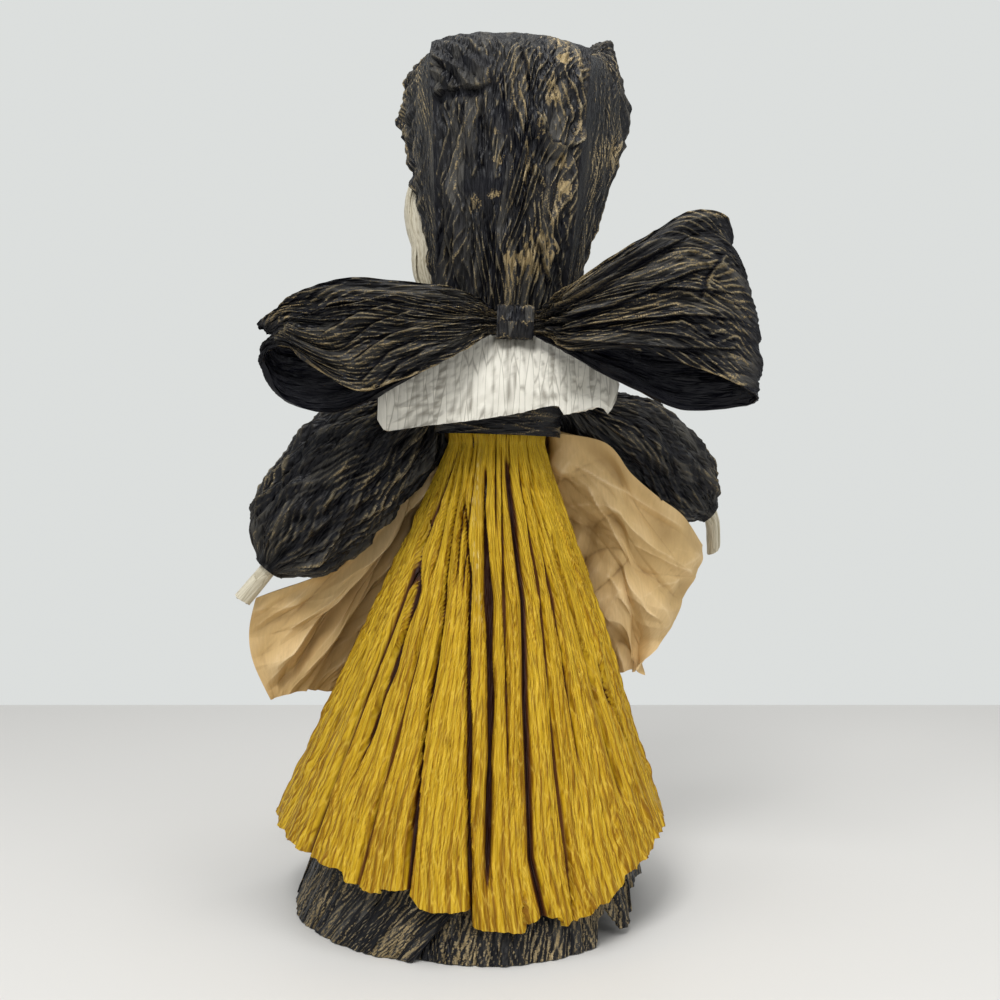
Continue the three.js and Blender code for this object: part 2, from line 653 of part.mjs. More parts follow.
// A point just inside the crown, clear of it and of the head.
function insideCrown(u, v) {
  const step = 1e-3;
  const across = crownPoint(u + step, v).sub(crownPoint(u - step, v));
  const along = crownPoint(u, v + step).sub(crownPoint(u, v - step));
  const inward = across.cross(along).normalize();
  return clearOfHead(crownPoint(u, v).addScaledVector(inward, -(RIBBON + BRIM_EASE)));
}

// Bonnet brim: a ribbon tucked under the crown's edges and arched over the face, from the left jaw
// to the right one. Rows of its free edge: shares of the clear half width, sideways and forwards, and
// a share of the bonnet's height.
const BRIM_EDGE = [
  [0.79, 0.084, 0.05], [0.96, 0.168, 0.28], [1.13, 0.337, 0.49], [1.3, 0.618, 0.65], [1.33, 0.758, 0.79],
  [1.17, 0.843, 0.935], [0, 0.899, 1.02], [-1.17, 0.674, 1.07], [-1.44, 0.73, 0.87], [-1.48, 0.674, 0.72],
  [-1.33, 0.393, 0.565], [-1.07, 0.197, 0.33], [-0.84, 0.084, 0.07],
];
const brimSide = headBack + BRIM_EASE;

function brim() {
  const tuck = 1 - BRIM_TUCK;
  const leftSide = [0.03, 0.16, 0.3, 0.44, 0.58].map((v) => insideCrown(BRIM_TUCK, v));
  const rightSide = [0.58, 0.44, 0.3, 0.16, 0.03].map((v) => insideCrown(tuck, v));
  const over = [
    [0.05, 0.74], [0.05, 0.88], [0.14, 0.97], [0.5, 0.98], [0.86, 0.97], [0.96, 0.88], [0.96, 0.74],
  ].map(([u, v]) => insideCrown(u, v));
  const rear = new THREE.CatmullRomCurve3([...leftSide, ...over, ...rightSide], false, 'catmullrom', 0.5);
  const front = curve(BRIM_EDGE.map(([side, forward, rise]) =>
    [side * brimSide, -forward * brimSide, mix(bonnetNape, bonnetTop, rise)]));
  const surface = (u, v) => {
    const [start, end] = [rear.getPoint(u), front.getPoint(u)];
    const point = start.clone().lerp(end, v);
    point.z = mix(start.z, end.z, v ** BRIM_LIFT);
    point.x += BRIM_BULGE * Math.sin(Math.PI * v) * Math.cos(Math.PI * u);
    return point;
  };
  return sheet(surface, 48, 4, RIBBON);
}

place(figure, 'bonnet_crown', sheet(crownPoint, 14, 16, RIBBON), BLACK_GOLD);
place(figure, 'bonnet_brim', brim(), BLACK_GOLD);

// Bow: each loop runs out from the band behind the near layer, turns at its end and comes back.
// Rows hold the top and bottom edges, in millimetres out from the knot, towards the back, and up.
const LEFT_LOOP_TOP = [
  [14, 9, 9], [32, 20, 12.3], [62, 24, 12.5], [81, 22, 6.8], [94, 17, -1], [98, 12.5, -6],
  [90, 9, -5], [64, 8, 4], [38, 6.5, 8], [14, 2, 7.5],
];
const LEFT_LOOP_BOTTOM = [
  [13, 9, -9], [27.5, 20, -18.7], [47.5, 25, -35], [72, 25, -38], [86, 21, -35], [93.5, 14, -27],
  [86, 9.5, -30], [62, 8.5, -31], [38, 6.5, -20], [14, 2, -8],
];
const RIGHT_LOOP_TOP = [
  [13, 9, 8.5], [21.5, 20, 14.2], [45, 25, 30.3], [64, 23, 41.8], [78, 17.5, 41.5], [82, 12.5, 33],
  [75, 9, 30], [55, 8, 24], [32, 6.5, 14], [13, 2, 7.5],
];
const RIGHT_LOOP_BOTTOM = [
  [12, 9, -7], [20.5, 22, -12.5], [46.5, 28, -12], [68.5, 28, -17.5], [84.5, 25, -22.5], [94, 18, -27.5],
  [88, 10.5, -30.5], [64.5, 9, -32.5], [41, 8, -22.7], [14, 3, -9],
];
const bandDepth = BOW_LAYER_GAP / 2 + BOW_SPREAD + RIBBON + 2 * GAP;
const bandTall = BOW_PINCH + RIBBON + GAP;
const collarAxis = collarTop - COLLAR_BEND_RADIUS;
const collarBehindBow = Math.sqrt(COLLAR_BEND_RADIUS ** 2 - (bowHeight - bandTall - collarAxis) ** 2);
const bowY = collarBehindBow + RIBBON + GAP + bandDepth * BAND_CORNER;

function bowLoop(side, endBulge, top, bottom) {
  const half = BOW_BAND_WIDTH / 2 + RIBBON;
  const near = BOW_LAYER_GAP / 2;
  const edge = (rows, up) => curve([
    [GAP + RIBBON / 2, near, up * BOW_PINCH], [half, near + BOW_SPREAD, up * BOW_PINCH], ...rows,
    [half, -near, up * BOW_PINCH], [GAP + RIBBON / 2, -near, up * BOW_PINCH],
  ].map(([x, y, z]) => [BOW_X + side * x, bowY + y, bowHeight + z]));
  const [upper, lower] = [edge(top, 1), edge(bottom, -1)];
  const surface = (u, v) => {
    const point = lower.getPoint(v).lerp(upper.getPoint(v), u);
    const middle = Math.sin(Math.PI * u);
    point.y += BOW_BULGE * middle * Math.sin(2 * Math.PI * v);
    point.x += side * endBulge * middle * Math.sin(Math.PI * v) ** 6;
    return point;
  };
  return sheet(surface, 6, 40, RIBBON);
}

function bowBand() {
  const surface = (u, v) => {
    const angle = 2 * Math.PI * u;
    const x = BOW_X + (v - 0.5) * BOW_BAND_WIDTH;
    const [c, s] = [Math.cos(angle), Math.sin(angle)];
    const square = 1 / (Math.abs(c) ** 4 + Math.abs(s) ** 4) ** 0.25;
    return vec(x, bowY + bandDepth * c * square, bowHeight + bandTall * s * square);
  };
  return sheet(surface, 24, 2, RIBBON, { ring: true });
}

const leftLoop = bowLoop(1, BOW_LEFT_END_BULGE, LEFT_LOOP_TOP, LEFT_LOOP_BOTTOM);
const rightLoop = bowLoop(-1, BOW_RIGHT_END_BULGE, RIGHT_LOOP_TOP, RIGHT_LOOP_BOTTOM);
place(figure, 'bow_left_loop', leftLoop, BLACK_GOLD);
place(figure, 'bow_right_loop', rightLoop, BLACK_GOLD);
place(figure, 'bow_band', bowBand(), BLACK_GOLD);

// Apron: gathered under the waistband at the front, its wings run under the sleeves to the hands.
// A point just off a sleeve: s along it, turned from straight below towards the back.
function besideSleeve(arm, s, turn) {
  const { pivot, along, deep, up, length } = armFrame(arm);
  const off = sleeveRadius(arm, s) + SLEEVE_GATHER + RIBBON + APRON_EASE;
  return pivot.clone().addScaledVector(along, length * s)
    .addScaledVector(up, -off * Math.cos(turn))
    .addScaledVector(deep, off * SLEEVE_DEPTH * Math.sin(turn));
}

// Where a hand holds a corner of the apron.
function heldCorner(arm, towards) {
  const { wrist, tip } = armFrame(arm);
  const reach = ARM_ROLL_RADIUS + 2 * GAP + KRAFT / 2;
  return wrist.clone().lerp(tip, 0.75).addScaledVector(towards.normalize(), reach);
}

function waistPoint(degrees, drop) {
  const angle = THREE.MathUtils.degToRad(degrees);
  const top = waistbandFoot + APRON_TUCK - drop;
  return vec(apronWaist * Math.cos(angle), apronWaist * Math.sin(angle), top);
}

// Rows of the apron's hem from the right tip to the left one: direction in degrees, height as a share
// of the waist's, and how far it flares off the skirt.
const APRON_HEM = [
  [199, 0.468, 10], [203, 0.463, 9], [207, 0.458, 9], [235, 0.433, 7], [300, 0.398, 6], [336, 0.393, 10],
  [345, 0.398, 14], [352, 0.383, 23],
];

function apron() {
  const { left, right } = ARMS;
  const outside = APRON_TUCK + 3 * GAP + KRAFT;
  const top = new THREE.CatmullRomCurve3([
    heldCorner(right, vec(0.75, 0.45, -0.48)),
    ...[0.8, 0.6, 0.4, 0.2].map((s) => besideSleeve(right, s, RIGHT_WING_TURN)),
    waistPoint(183, outside), waistPoint(215, 0), waistPoint(263, 0), waistPoint(305, 0),
    waistPoint(348, outside),
    ...[0.25, 0.45, 0.65, 0.85].map((s) => besideSleeve(left, s, LEFT_WING_TURN)),
    heldCorner(left, vec(-0.4, -0.7, -0.55)),
  ], false, 'catmullrom', 0.5);
  const hem = curve(APRON_HEM.map(([degrees, share, flare]) => {
    const angle = THREE.MathUtils.degToRad(degrees);
    const height = share * WAIST_TOP;
    const t = (skirtTop - height) / (skirtTop - overskirtLayer.hemHeight(angle));
    const skirt = mix(overskirtLayer.waist, overskirtLayer.hemRadius(angle), t);
    const radius = skirt + OVERSKIRT_FOLD + RIBBON + flare;
    return [radius * Math.cos(angle), radius * Math.sin(angle), height];
  }));
  const surface = (u, v) => {
    const point = top.getPoint(u).lerp(hem.getPoint(u), v);
    const wing = WING_BULGE * Math.abs(2 * u - 1) ** 6 * Math.sin(Math.PI * v);
    const centred = Math.exp(-(((u - 0.5) / 0.16) ** 2));
    const fold = APRON_FOLD * (1 + v) * centred * Math.sin(2 * Math.PI * APRON_FOLDS * u);
    return point.add(vec(point.x, point.y, 0).normalize().multiplyScalar(fold + wing));
  };
  return sheet(surface, 44, 7, KRAFT);
}

place(figure, 'apron', apron(), KRAFT_PAPER);

export default doll;
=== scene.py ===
# %% [markdown]
# # A doll of twisted paper
# The doll is made of paper ribbon that was once wound into a cord: opened out again, it keeps
# thousands of creases along its length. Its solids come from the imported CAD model, and this lesson
# dresses them. Every paper piece is worked out here as a sheet on a grid of points.

import math

import bpy
import numpy as np
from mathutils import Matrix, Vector


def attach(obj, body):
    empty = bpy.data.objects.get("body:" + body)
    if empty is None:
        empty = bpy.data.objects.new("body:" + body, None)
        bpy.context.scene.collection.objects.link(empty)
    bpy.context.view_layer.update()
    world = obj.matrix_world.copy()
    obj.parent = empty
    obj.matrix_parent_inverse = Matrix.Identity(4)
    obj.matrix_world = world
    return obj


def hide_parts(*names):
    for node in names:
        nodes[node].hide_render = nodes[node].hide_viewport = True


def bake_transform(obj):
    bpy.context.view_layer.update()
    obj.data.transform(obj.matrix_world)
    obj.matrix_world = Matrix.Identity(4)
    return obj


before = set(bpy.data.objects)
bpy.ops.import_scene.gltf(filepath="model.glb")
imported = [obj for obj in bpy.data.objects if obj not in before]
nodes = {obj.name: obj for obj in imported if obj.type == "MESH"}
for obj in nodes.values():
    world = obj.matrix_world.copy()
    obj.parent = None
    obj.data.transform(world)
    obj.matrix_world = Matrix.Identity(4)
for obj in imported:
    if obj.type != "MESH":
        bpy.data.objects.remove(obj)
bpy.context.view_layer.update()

# %% [markdown]
# ## Camera
# The photograph looks at the doll's back from about half its height. A camera is fitted once, so that
# the solids cover the doll in the picture, and its numbers are written down here.

# %% Camera behind the doll
LENS, SENSOR = 44.55, 36.0
CAMERA_PLACE = (-0.006, 0.5214, 0.1825)
CAMERA_TILT = math.radians(88.33)
camera_data = bpy.data.cameras.new("camera")
camera_data.lens = LENS
camera_data.sensor_width = SENSOR
camera = bpy.data.objects.new("camera", camera_data)
camera.location = CAMERA_PLACE
camera.rotation_euler = (CAMERA_TILT, 0.0, math.pi)
bpy.context.scene.collection.objects.link(camera)
bpy.context.scene.camera = camera
bpy.context.scene.view_settings.view_transform = "Standard"
print("camera at", list(camera.location))

# %% [markdown]
# ## Table, wall and light
# The doll stands on a white table before a pale wall. The table is one plane whose far edge is
# where the photograph shows it, and the wall is the world's colour, seen by the camera and in
# reflections. A window lamp on the camera's left gives the soft shadow to the right, and weaker
# ceiling and room lamps fill it in.

# %% Table
TABLE_EDGE = -0.411
TABLE_NEAR = 1.2
TABLE_HALF_WIDTH = 1.6
TABLE_WHITE = (0.68, 0.67, 0.645, 1.0)
TABLE_ROUGHNESS = 0.55


def node_finish(name):
    """A new material with only an output and a Principled shader; returns it, its tree and the shader."""
    material = bpy.data.materials.new(name)
    material.use_nodes = True
    tree = material.node_tree
    tree.nodes.clear()
    output = tree.nodes.new("ShaderNodeOutputMaterial")
    shader = tree.nodes.new("ShaderNodeBsdfPrincipled")
    tree.links.new(shader.outputs["BSDF"], output.inputs["Surface"])
    return material, tree, shader


table_mesh = bpy.data.meshes.new("table")
table_corners = [
    (-TABLE_HALF_WIDTH, TABLE_EDGE, 0.0),
    (TABLE_HALF_WIDTH, TABLE_EDGE, 0.0),
    (TABLE_HALF_WIDTH, TABLE_NEAR, 0.0),
    (-TABLE_HALF_WIDTH, TABLE_NEAR, 0.0),
]
table_mesh.from_pydata(table_corners, [], [(0, 1, 2, 3)])
table = bpy.data.objects.new("table", table_mesh)
bpy.context.scene.collection.objects.link(table)
table_finish, _, table_shader = node_finish("table_top")
table_shader.inputs["Base Color"].default_value = TABLE_WHITE
table_shader.inputs["Roughness"].default_value = TABLE_ROUGHNESS
table_mesh.materials.append(table_finish)
print("table edge at y =", TABLE_EDGE)

# %% Wall colour and lamps
WALL = (0.715, 0.735, 0.725, 1.0)
AMBIENT = (0.97, 0.985, 1.0, 1.0)
AMBIENT_STRENGTH = 0.4


def wall_world():
    """The world shows the wall's colour to the camera and in reflections, and lights the doll evenly and
    less strongly."""
    world = bpy.data.worlds.new("wall")
    world.use_nodes = True
    tree = world.node_tree
    tree.nodes.clear()
    path = tree.nodes.new("ShaderNodeLightPath")
    light = tree.nodes.new("ShaderNodeBackground")
    light.inputs["Color"].default_value = AMBIENT
    light.inputs["Strength"].default_value = AMBIENT_STRENGTH
    seen = tree.nodes.new("ShaderNodeBackground")
    seen.inputs["Color"].default_value = WALL
    shown = path.outputs["Is Camera Ray"]
    for ray in ("Is Glossy Ray", "Is Transmission Ray"):
        more = tree.nodes.new("ShaderNodeMath")
        more.operation = "MAXIMUM"
        tree.links.new(shown, more.inputs[0])
        tree.links.new(path.outputs[ray], more.inputs[1])
        shown = more.outputs[0]
    either_of = tree.nodes.new("ShaderNodeMixShader")
    tree.links.new(shown, either_of.inputs[0])
    tree.links.new(light.outputs[0], either_of.inputs[1])
    tree.links.new(seen.outputs[0], either_of.inputs[2])
    output = tree.nodes.new("ShaderNodeOutputWorld")
    tree.links.new(either_of.outputs[0], output.inputs["Surface"])
    return world


def soft_lamp(name, place, target, size, watts):
    """A square area lamp at a place, turned to face a target."""
    data = bpy.data.lights.new(name, "AREA")
    data.size = size
    data.energy = watts
    lamp = bpy.data.objects.new(name, data)
    lamp.location = place
    towards = Vector(target) - lamp.location
    lamp.rotation_euler = towards.to_track_quat("-Z", "Y").to_euler()
    bpy.context.scene.collection.objects.link(lamp)
    return lamp


bpy.context.scene.world = wall_world()
soft_lamp("window", place=(0.24, 0.75, 1.05), target=(0.0, 0.0, 0.16), size=0.42, watts=8.6)
soft_lamp("ceiling", place=(-0.1, 0.15, 1.2), target=(0.0, 0.0, 0.1), size=0.8, watts=6.0)
soft_lamp("room", place=(-0.8, 0.7, 0.5), target=(0.0, 0.0, 0.16), size=0.6, watts=2.2)

# %% [markdown]
# ## Measures shared by every piece
# Shapes are worked out in millimetres. The figure leans a little to its right, so most pieces are
# described along an upright spine and then tilted into the frame, and made metres, at the end.

# %% Spine, mixing and easing
MM = 0.001
LEAN = math.radians(2.05)
BASE_X = 2.0
WAIST_TOP = 201.0
NECK = 242.0
HEAD_MIDDLE = 295.0


def mix(a, b, t):
    """The value a share t of the way from a to b."""
    return a + (b - a) * t


def ease(low, high, x):
    """Rises smoothly from 0 at low to 1 at high: three squares less two cubes."""
    t = np.clip((x - low) / (high - low), 0.0, 1.0)
    return t * t * (3.0 - 2.0 * t)


def upright(x, y, z):
    """Millimetres of the frame to metres, as one array of points."""
    return np.stack(np.broadcast_arrays(x, y, z), axis=-1) * MM


def leaning(x, y, z):
    """Millimetres along the spine to metres in the frame: a turn by LEAN about Y, then a step aside."""
    c, s = math.cos(LEAN), math.sin(LEAN)
    return upright(BASE_X + x * c - z * s, y, x * s + z * c)


def spine_x(z):
    """How far aside the spine is at a height in the frame."""
    return BASE_X - z * math.tan(LEAN)


def round_spine(degrees, radius, z):
    """Points at a direction, a distance and a height round the spine, in metres."""
    angle = np.radians(degrees)
    return upright(spine_x(z) + radius * np.cos(angle), radius * np.sin(angle), z)


def spline(points, t):
    """A smooth curve through points: cubic pieces, whose slope at a point is half the step between
    its neighbours. t runs from 0 at the first point to 1 at the last."""
    p = np.asarray(points, float)
    p = np.vstack([2 * p[0] - p[1], p, 2 * p[-1] - p[-2]])
    s = np.clip(t, 0.0, 1.0) * (len(points) - 1)
    k = np.minimum(s.astype(int), len(points) - 2)
    f = (s - k)[..., None]
    before, a, b, after = p[k], p[k + 1], p[k + 2], p[k + 3]
    m, n = (b - before) / 2, (after - a) / 2
    return (2 * a - 2 * b + m + n) * f**3 + (3 * b - 3 * a - 2 * m - n) * f**2 + m * f + a


def follow(rows, x):
    """The value at x of rows of place and value, mixed evenly between them."""
    return np.interp(x, *np.array(rows, float).T)


def grid(columns, rows):
    """Parameters u across and v along, from 0 to 1, on a grid of points."""
    return np.meshgrid(np.linspace(0, 1, columns + 1), np.linspace(0, 1, rows + 1))


print("waist, neck and head at", WAIST_TOP, NECK, HEAD_MIDDLE, "mm")

# %% [markdown]
# ## Creases
# Twist paper is covered in sharp folds that run along the ribbon. Across the ribbon they make a zigzag
# of flat facets, so a zigzag is what is built: its lines sway as they run, and each grows and fades.
# Layers of several sizes, some slanted to either side, cross in long diamonds.


# %% Noise and creases
def chance(i, j, seed):
    """One fixed number from 0 to 1 for each pair of whole numbers, by mixing their bits."""
    h = (i * 374761393 + j * 668265263 + seed * 974634777) & 0xFFFFFFFF
    h = ((h ^ (h >> 13)) * 1274126177) & 0xFFFFFFFF
    return ((h ^ (h >> 16)) & 0xFFFFFF) / 0xFFFFFF


def noise(x, y, seed, wrap=0):
    """Gradient noise, about -0.7 to 0.7: each lattice point has a slope in a chance direction, and a
    place between four of them mixes their slopes. With wrap, x repeats after that many cells."""
    i, j = np.floor(x).astype(np.int64), np.floor(y).astype(np.int64)
    fx, fy = x - i, y - j
    sx = fx**3 * (fx * (fx * 6 - 15) + 10)
    sy = fy**3 * (fy * (fy * 6 - 15) + 10)

    def corner(di, dj):
        column = (i + di) % wrap if wrap else i + di
        turn = 2 * np.pi * chance(column, j + dj, seed)
        return np.cos(turn) * (fx - di) + np.sin(turn) * (fy - dj)

    low = mix(corner(0, 0), corner(1, 0), sx)
    high = mix(corner(0, 1), corner(1, 1), sx)
    return mix(low, high, sy)


def creases(across, along, width, length, seed, around=0.0, slant=0.0):
    """Folds along a ribbon, about 1 on a crest and -1 in a valley, with flat sides between: lines a
    width apart, crests and valleys by turns, sway sideways and change height along their length.
    around is the distance after which a ring meets itself."""
    cells = 12 * max(1, round(around / (12 * width))) if around else 0
    x = across * (cells / around) if cells else across / width
    sway = 1.4 * noise(x / 4, along / length, seed, cells // 4)
    sway = sway + 0.3 * noise(x / 1.5, 2.7 * along / length, seed + 301, 2 * cells // 3)
    x = x + sway + slant * along / width
    line = np.floor(x).astype(np.int64)

    def level(k):
        own = k % cells if cells else k
        grown = 0.85 + 0.9 * noise(own * 0.73 + 0.4, along / length + own * 1.7, seed + 601)
        return (1 - 2 * (k % 2)) * grown

    return mix(level(line), level(line + 1), x - line)


def taking_turns(one, other, across, along, seed, around=0.0):
    """Mixes two sets of creases in patches, so that now one and now the other shows."""
    cells = 6 if around else 0
    x = across * cells / around if around else across / 17.0
    return mix(one, other, np.clip(0.5 + 1.6 * noise(x, along / 19.0, seed, cells), 0.0, 1.0))


def pinched(fold, ridges):
    """Makes the valleys of a zigzag narrow and its crests broad, or with ridges the other way round:
    the distance from the broad side is squared."""
    side = 1 if ridges else -1
    return side * (2 * np.clip((1 + side * fold) / 2, 0, 1) ** 2 - 1)


def crinkle(across, along, seed, around=0.0, size=1.0, ridges=False):
    """Twist paper's wrinkles: long ones, and two finer sets that slant to either side and take turns.
    With ridges, the crests are the sharp side, the slant is steeper and the long ones weigh less.
    Gives their height in millimetres, and how far a place is a crest, -1 to 1."""
    long = pinched(creases(across, along, 1.9 * size, 40 * size, seed, around), ridges)
    slant = 0.36 if ridges else 0.2
    one_way = creases(across, along, 1.0 * size, 18 * size, seed + 1, around, slant)
    other_way = creases(across, along, 0.9 * size, 16 * size, seed + 2, around, -1.1 * slant)
    crossing = pinched(taking_turns(one_way, other_way, across, along, seed + 3, around), ridges)
    share = 0.5 if ridges else 0.8
    height = size * (share * long + 0.55 * crossing)
    return height, np.clip(share * long + 0.6 * crossing, -1, 1)


def crumple(across, along, seed, around=0.0, size=1.0):
    """The larger folds of paper that was crushed in the hand: two crossing sets of long facets."""
    wide = creases(across, along, 7.0 * size, 50 * size, seed, around, 0.28)
    narrow = creases(across, along, 4.2 * size, 26 * size, seed + 1, around, -0.42)
    return size * (2.4 * wide + 1.7 * narrow)


sample_u, sample_v = grid(60, 60)
sample_height, _ = crinkle(sample_u * 60, sample_v * 60, 1)
print("crease height, mm: from %.2f to %.2f" % (sample_height.min(), sample_height.max()))

# %% [markdown]
# ## From a grid to a sheet of paper
# Paper has two faces and an edge, so each sheet becomes a closed shell: a fine outer face with all
# its creases, an inner face with half as many points each way, and a rim of triangles that joins
# the fine edge to the coarse one. Writing whole arrays into the mesh is much faster than a loop.


# %% Shells
SHARP_EDGE = 0.32
SHARP_ANGLE = math.radians(32)


def normals(points, ring=False):
    """Unit normals of a grid of points: the cross product of the steps along u and along v."""
    du = np.gradient(points, axis=1)
    dv = np.gradient(points, axis=0)
    if ring:
        du[:, 0] = du[:, -1] = (points[:, 1] - points[:, -2]) / 2
    n = np.cross(du, dv)
    return n / np.maximum(np.linalg.norm(n, axis=-1, keepdims=True), 1e-12)


def edges(points, ring=False):
    """How far a place stands out, along its own normal, from the mean of four places two steps away:
    about 1 on a sharp ridge and -1 in a sharp valley."""
    wide = np.pad(points, ((2, 2), (2, 2), (0, 0)), mode="edge")
    if ring:
        wide[2:-2, :2] = points[:, -3:-1]
        wide[2:-2, -2:] = points[:, 1:3]
    around = (wide[:-4, 2:-2] + wide[4:, 2:-2] + wide[2:-2, :-4] + wide[2:-2, 4:]) / 4
    out = np.sum((points - around) * normals(points, ring), axis=-1)
    return np.clip(out / (SHARP_EDGE * MM), -1, 1)


def rim(fine, coarse):
    """Triangles from an edge of the fine face to the same edge of the coarse one, three for each step
    of the coarse edge."""
    a, b, c = fine[:-1:2], fine[1::2], fine[2::2]
    p, q = coarse[:-1], coarse[1:]
    sides = [np.stack(t, axis=1) for t in ((a, b, p), (b, q, p), (b, c, q))]
    return np.concatenate(sides)


def shell_faces(shape, ring):
    """Quads and triangles of a shell whose outer grid has this many rows and columns of points."""
    rows, columns = shape
    outer = np.arange(rows * columns).reshape(shape)
    half = ((rows + 1) // 2, (columns + 1) // 2)
    inner = outer.size + np.arange(half[0] * half[1]).reshape(half)

    def quads(ids):
        corners = (ids[:-1, :-1], ids[:-1, 1:], ids[1:, 1:], ids[1:, :-1])
        return np.stack([c.ravel() for c in corners], axis=1)

    rims = [rim(outer[0], inner[0])[:, ::-1], rim(outer[-1], inner[-1])]
    if not ring:
        rims += [rim(outer[:, 0], inner[:, 0]), rim(outer[:, -1], inner[:, -1])[:, ::-1]]
    return np.concatenate([quads(outer), quads(inner)[:, ::-1]]), np.concatenate(rims), outer, inner


def write_mesh(name, points, quads, triangles, uv, values):
    """Puts whole arrays into a new mesh object: points, faces, one UV map and the named attributes."""
    mesh = bpy.data.meshes.new(name)
    mesh.vertices.add(len(points))
    mesh.vertices.foreach_set("co", points.astype(np.float32).ravel())
    corners = np.concatenate([quads.ravel(), triangles.ravel()]).astype(np.int32)
    starts = np.concatenate([np.arange(len(quads)) * 4, quads.size + np.arange(len(triangles)) * 3])
    mesh.loops.add(len(corners))
    mesh.loops.foreach_set("vertex_index", corners)
    mesh.polygons.add(len(starts))
    mesh.polygons.foreach_set("loop_start", starts.astype(np.int32))
    mesh.polygons.foreach_set("use_smooth", np.ones(len(starts), bool))
    layer = mesh.uv_layers.new(name="paper")
    layer.uv.foreach_set("vector", uv.astype(np.float32).ravel())
    for key, value in values.items():
        attribute = mesh.attributes.new(key, "FLOAT", "POINT")
        attribute.data.foreach_set("value", value.astype(np.float32))
    mesh.update(calc_edges=True)
    mesh.set_sharp_from_angle(angle=SHARP_ANGLE)
    thing = bpy.data.objects.new(name, mesh)
    bpy.context.scene.collection.objects.link(thing)
    return thing


def paper(name, base, thickness, height, across, along, ring=False, facing=None, **values):
    """A closed sheet: base, a grid of points in metres, raised by height, in millimetres, along its own
    normals or those of facing, a plainer grid. The inner face is the base, moved back by the
    thickness and the deepest crease near it. No point goes below the table. across and along, in
    millimetres, become the UV map in metres."""
    n = normals(base if facing is None else facing, ring)
    outer = base + n * (height * MM)[..., None]
    low = np.minimum(height, 0.0)
    if ring:
        low[:, 0] = low[:, -1] = np.minimum(low[:, 0], low[:, -1])
    near = low.copy()
    for shift in (1, 2):
        for axis in (0, 1):
            near = np.minimum(near, np.minimum(np.roll(low, shift, axis), np.roll(low, -shift, axis)))
    back = base + n * ((near - thickness) * MM)[..., None]
    outer[..., 2] = np.maximum(outer[..., 2], 0.0)
    back[..., 2] = np.maximum(back[..., 2], 0.0)
    return two_faces(name, outer, back[::2, ::2], across, along, ring, **values)


def two_faces(name, outer, inner, across, along, ring=False, **values):
    """A closed sheet from its outer grid and an inner grid of every second point. Besides the given
    values it carries the edge attribute, from its outer grid."""
    quads, triangles, outer_ids, inner_ids = shell_faces(outer.shape[:2], ring)
    flat = np.stack([across, along], axis=-1) * MM
    uv = np.concatenate([flat.reshape(-1, 2), flat[::2, ::2].reshape(-1, 2)])
    corner_uv = uv[np.concatenate([quads.ravel(), triangles.ravel()])]
    keep_outer, keep_inner = outer_ids.copy(), inner_ids.copy()
    if ring:
        keep_outer[:, -1] = keep_outer[:, 0]
        keep_inner[:, -1] = keep_inner[:, 0]
    target = np.concatenate([keep_outer.ravel(), keep_inner.ravel()])
    kept, index = np.unique(target, return_inverse=True)
    points = np.concatenate([outer.reshape(-1, 3), inner.reshape(-1, 3)])[kept]
    spread = {}
    values["edge"] = edges(outer, ring)
    for key, value in values.items():
        value = np.broadcast_to(value, outer.shape[:2])
        spread[key] = np.concatenate([value.ravel(), value[::2, ::2].ravel()])[kept]
    return write_mesh(name, points, index[quads], index[triangles], corner_uv, spread)


def dress(thing, finish, body, node):
    """Gives a piece its finish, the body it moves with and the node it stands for."""
    thing.data.materials.append(finish)
    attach(thing, body)
    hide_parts(node)
    print("%s: %d points, %d faces" % (thing.name, len(thing.data.vertices), len(thing.data.polygons)))
    return thing


# %% [markdown]
# ## Finishes
# All the ribbon is one kind of paper in several dyes. The black one was brushed with gold paint
# that caught only on the crests, so each sheet carries an attribute, gold, that says how much paint
# its creases took. Another, edge, marks sharp ridges and valleys, which the finishes lighten and darken
# as painted highlight and shade. The UV map lies along the ribbon in metres, so fibres and fine
# wrinkles follow it.

# %% Node helpers
FIBRE_STRETCH = 0.16


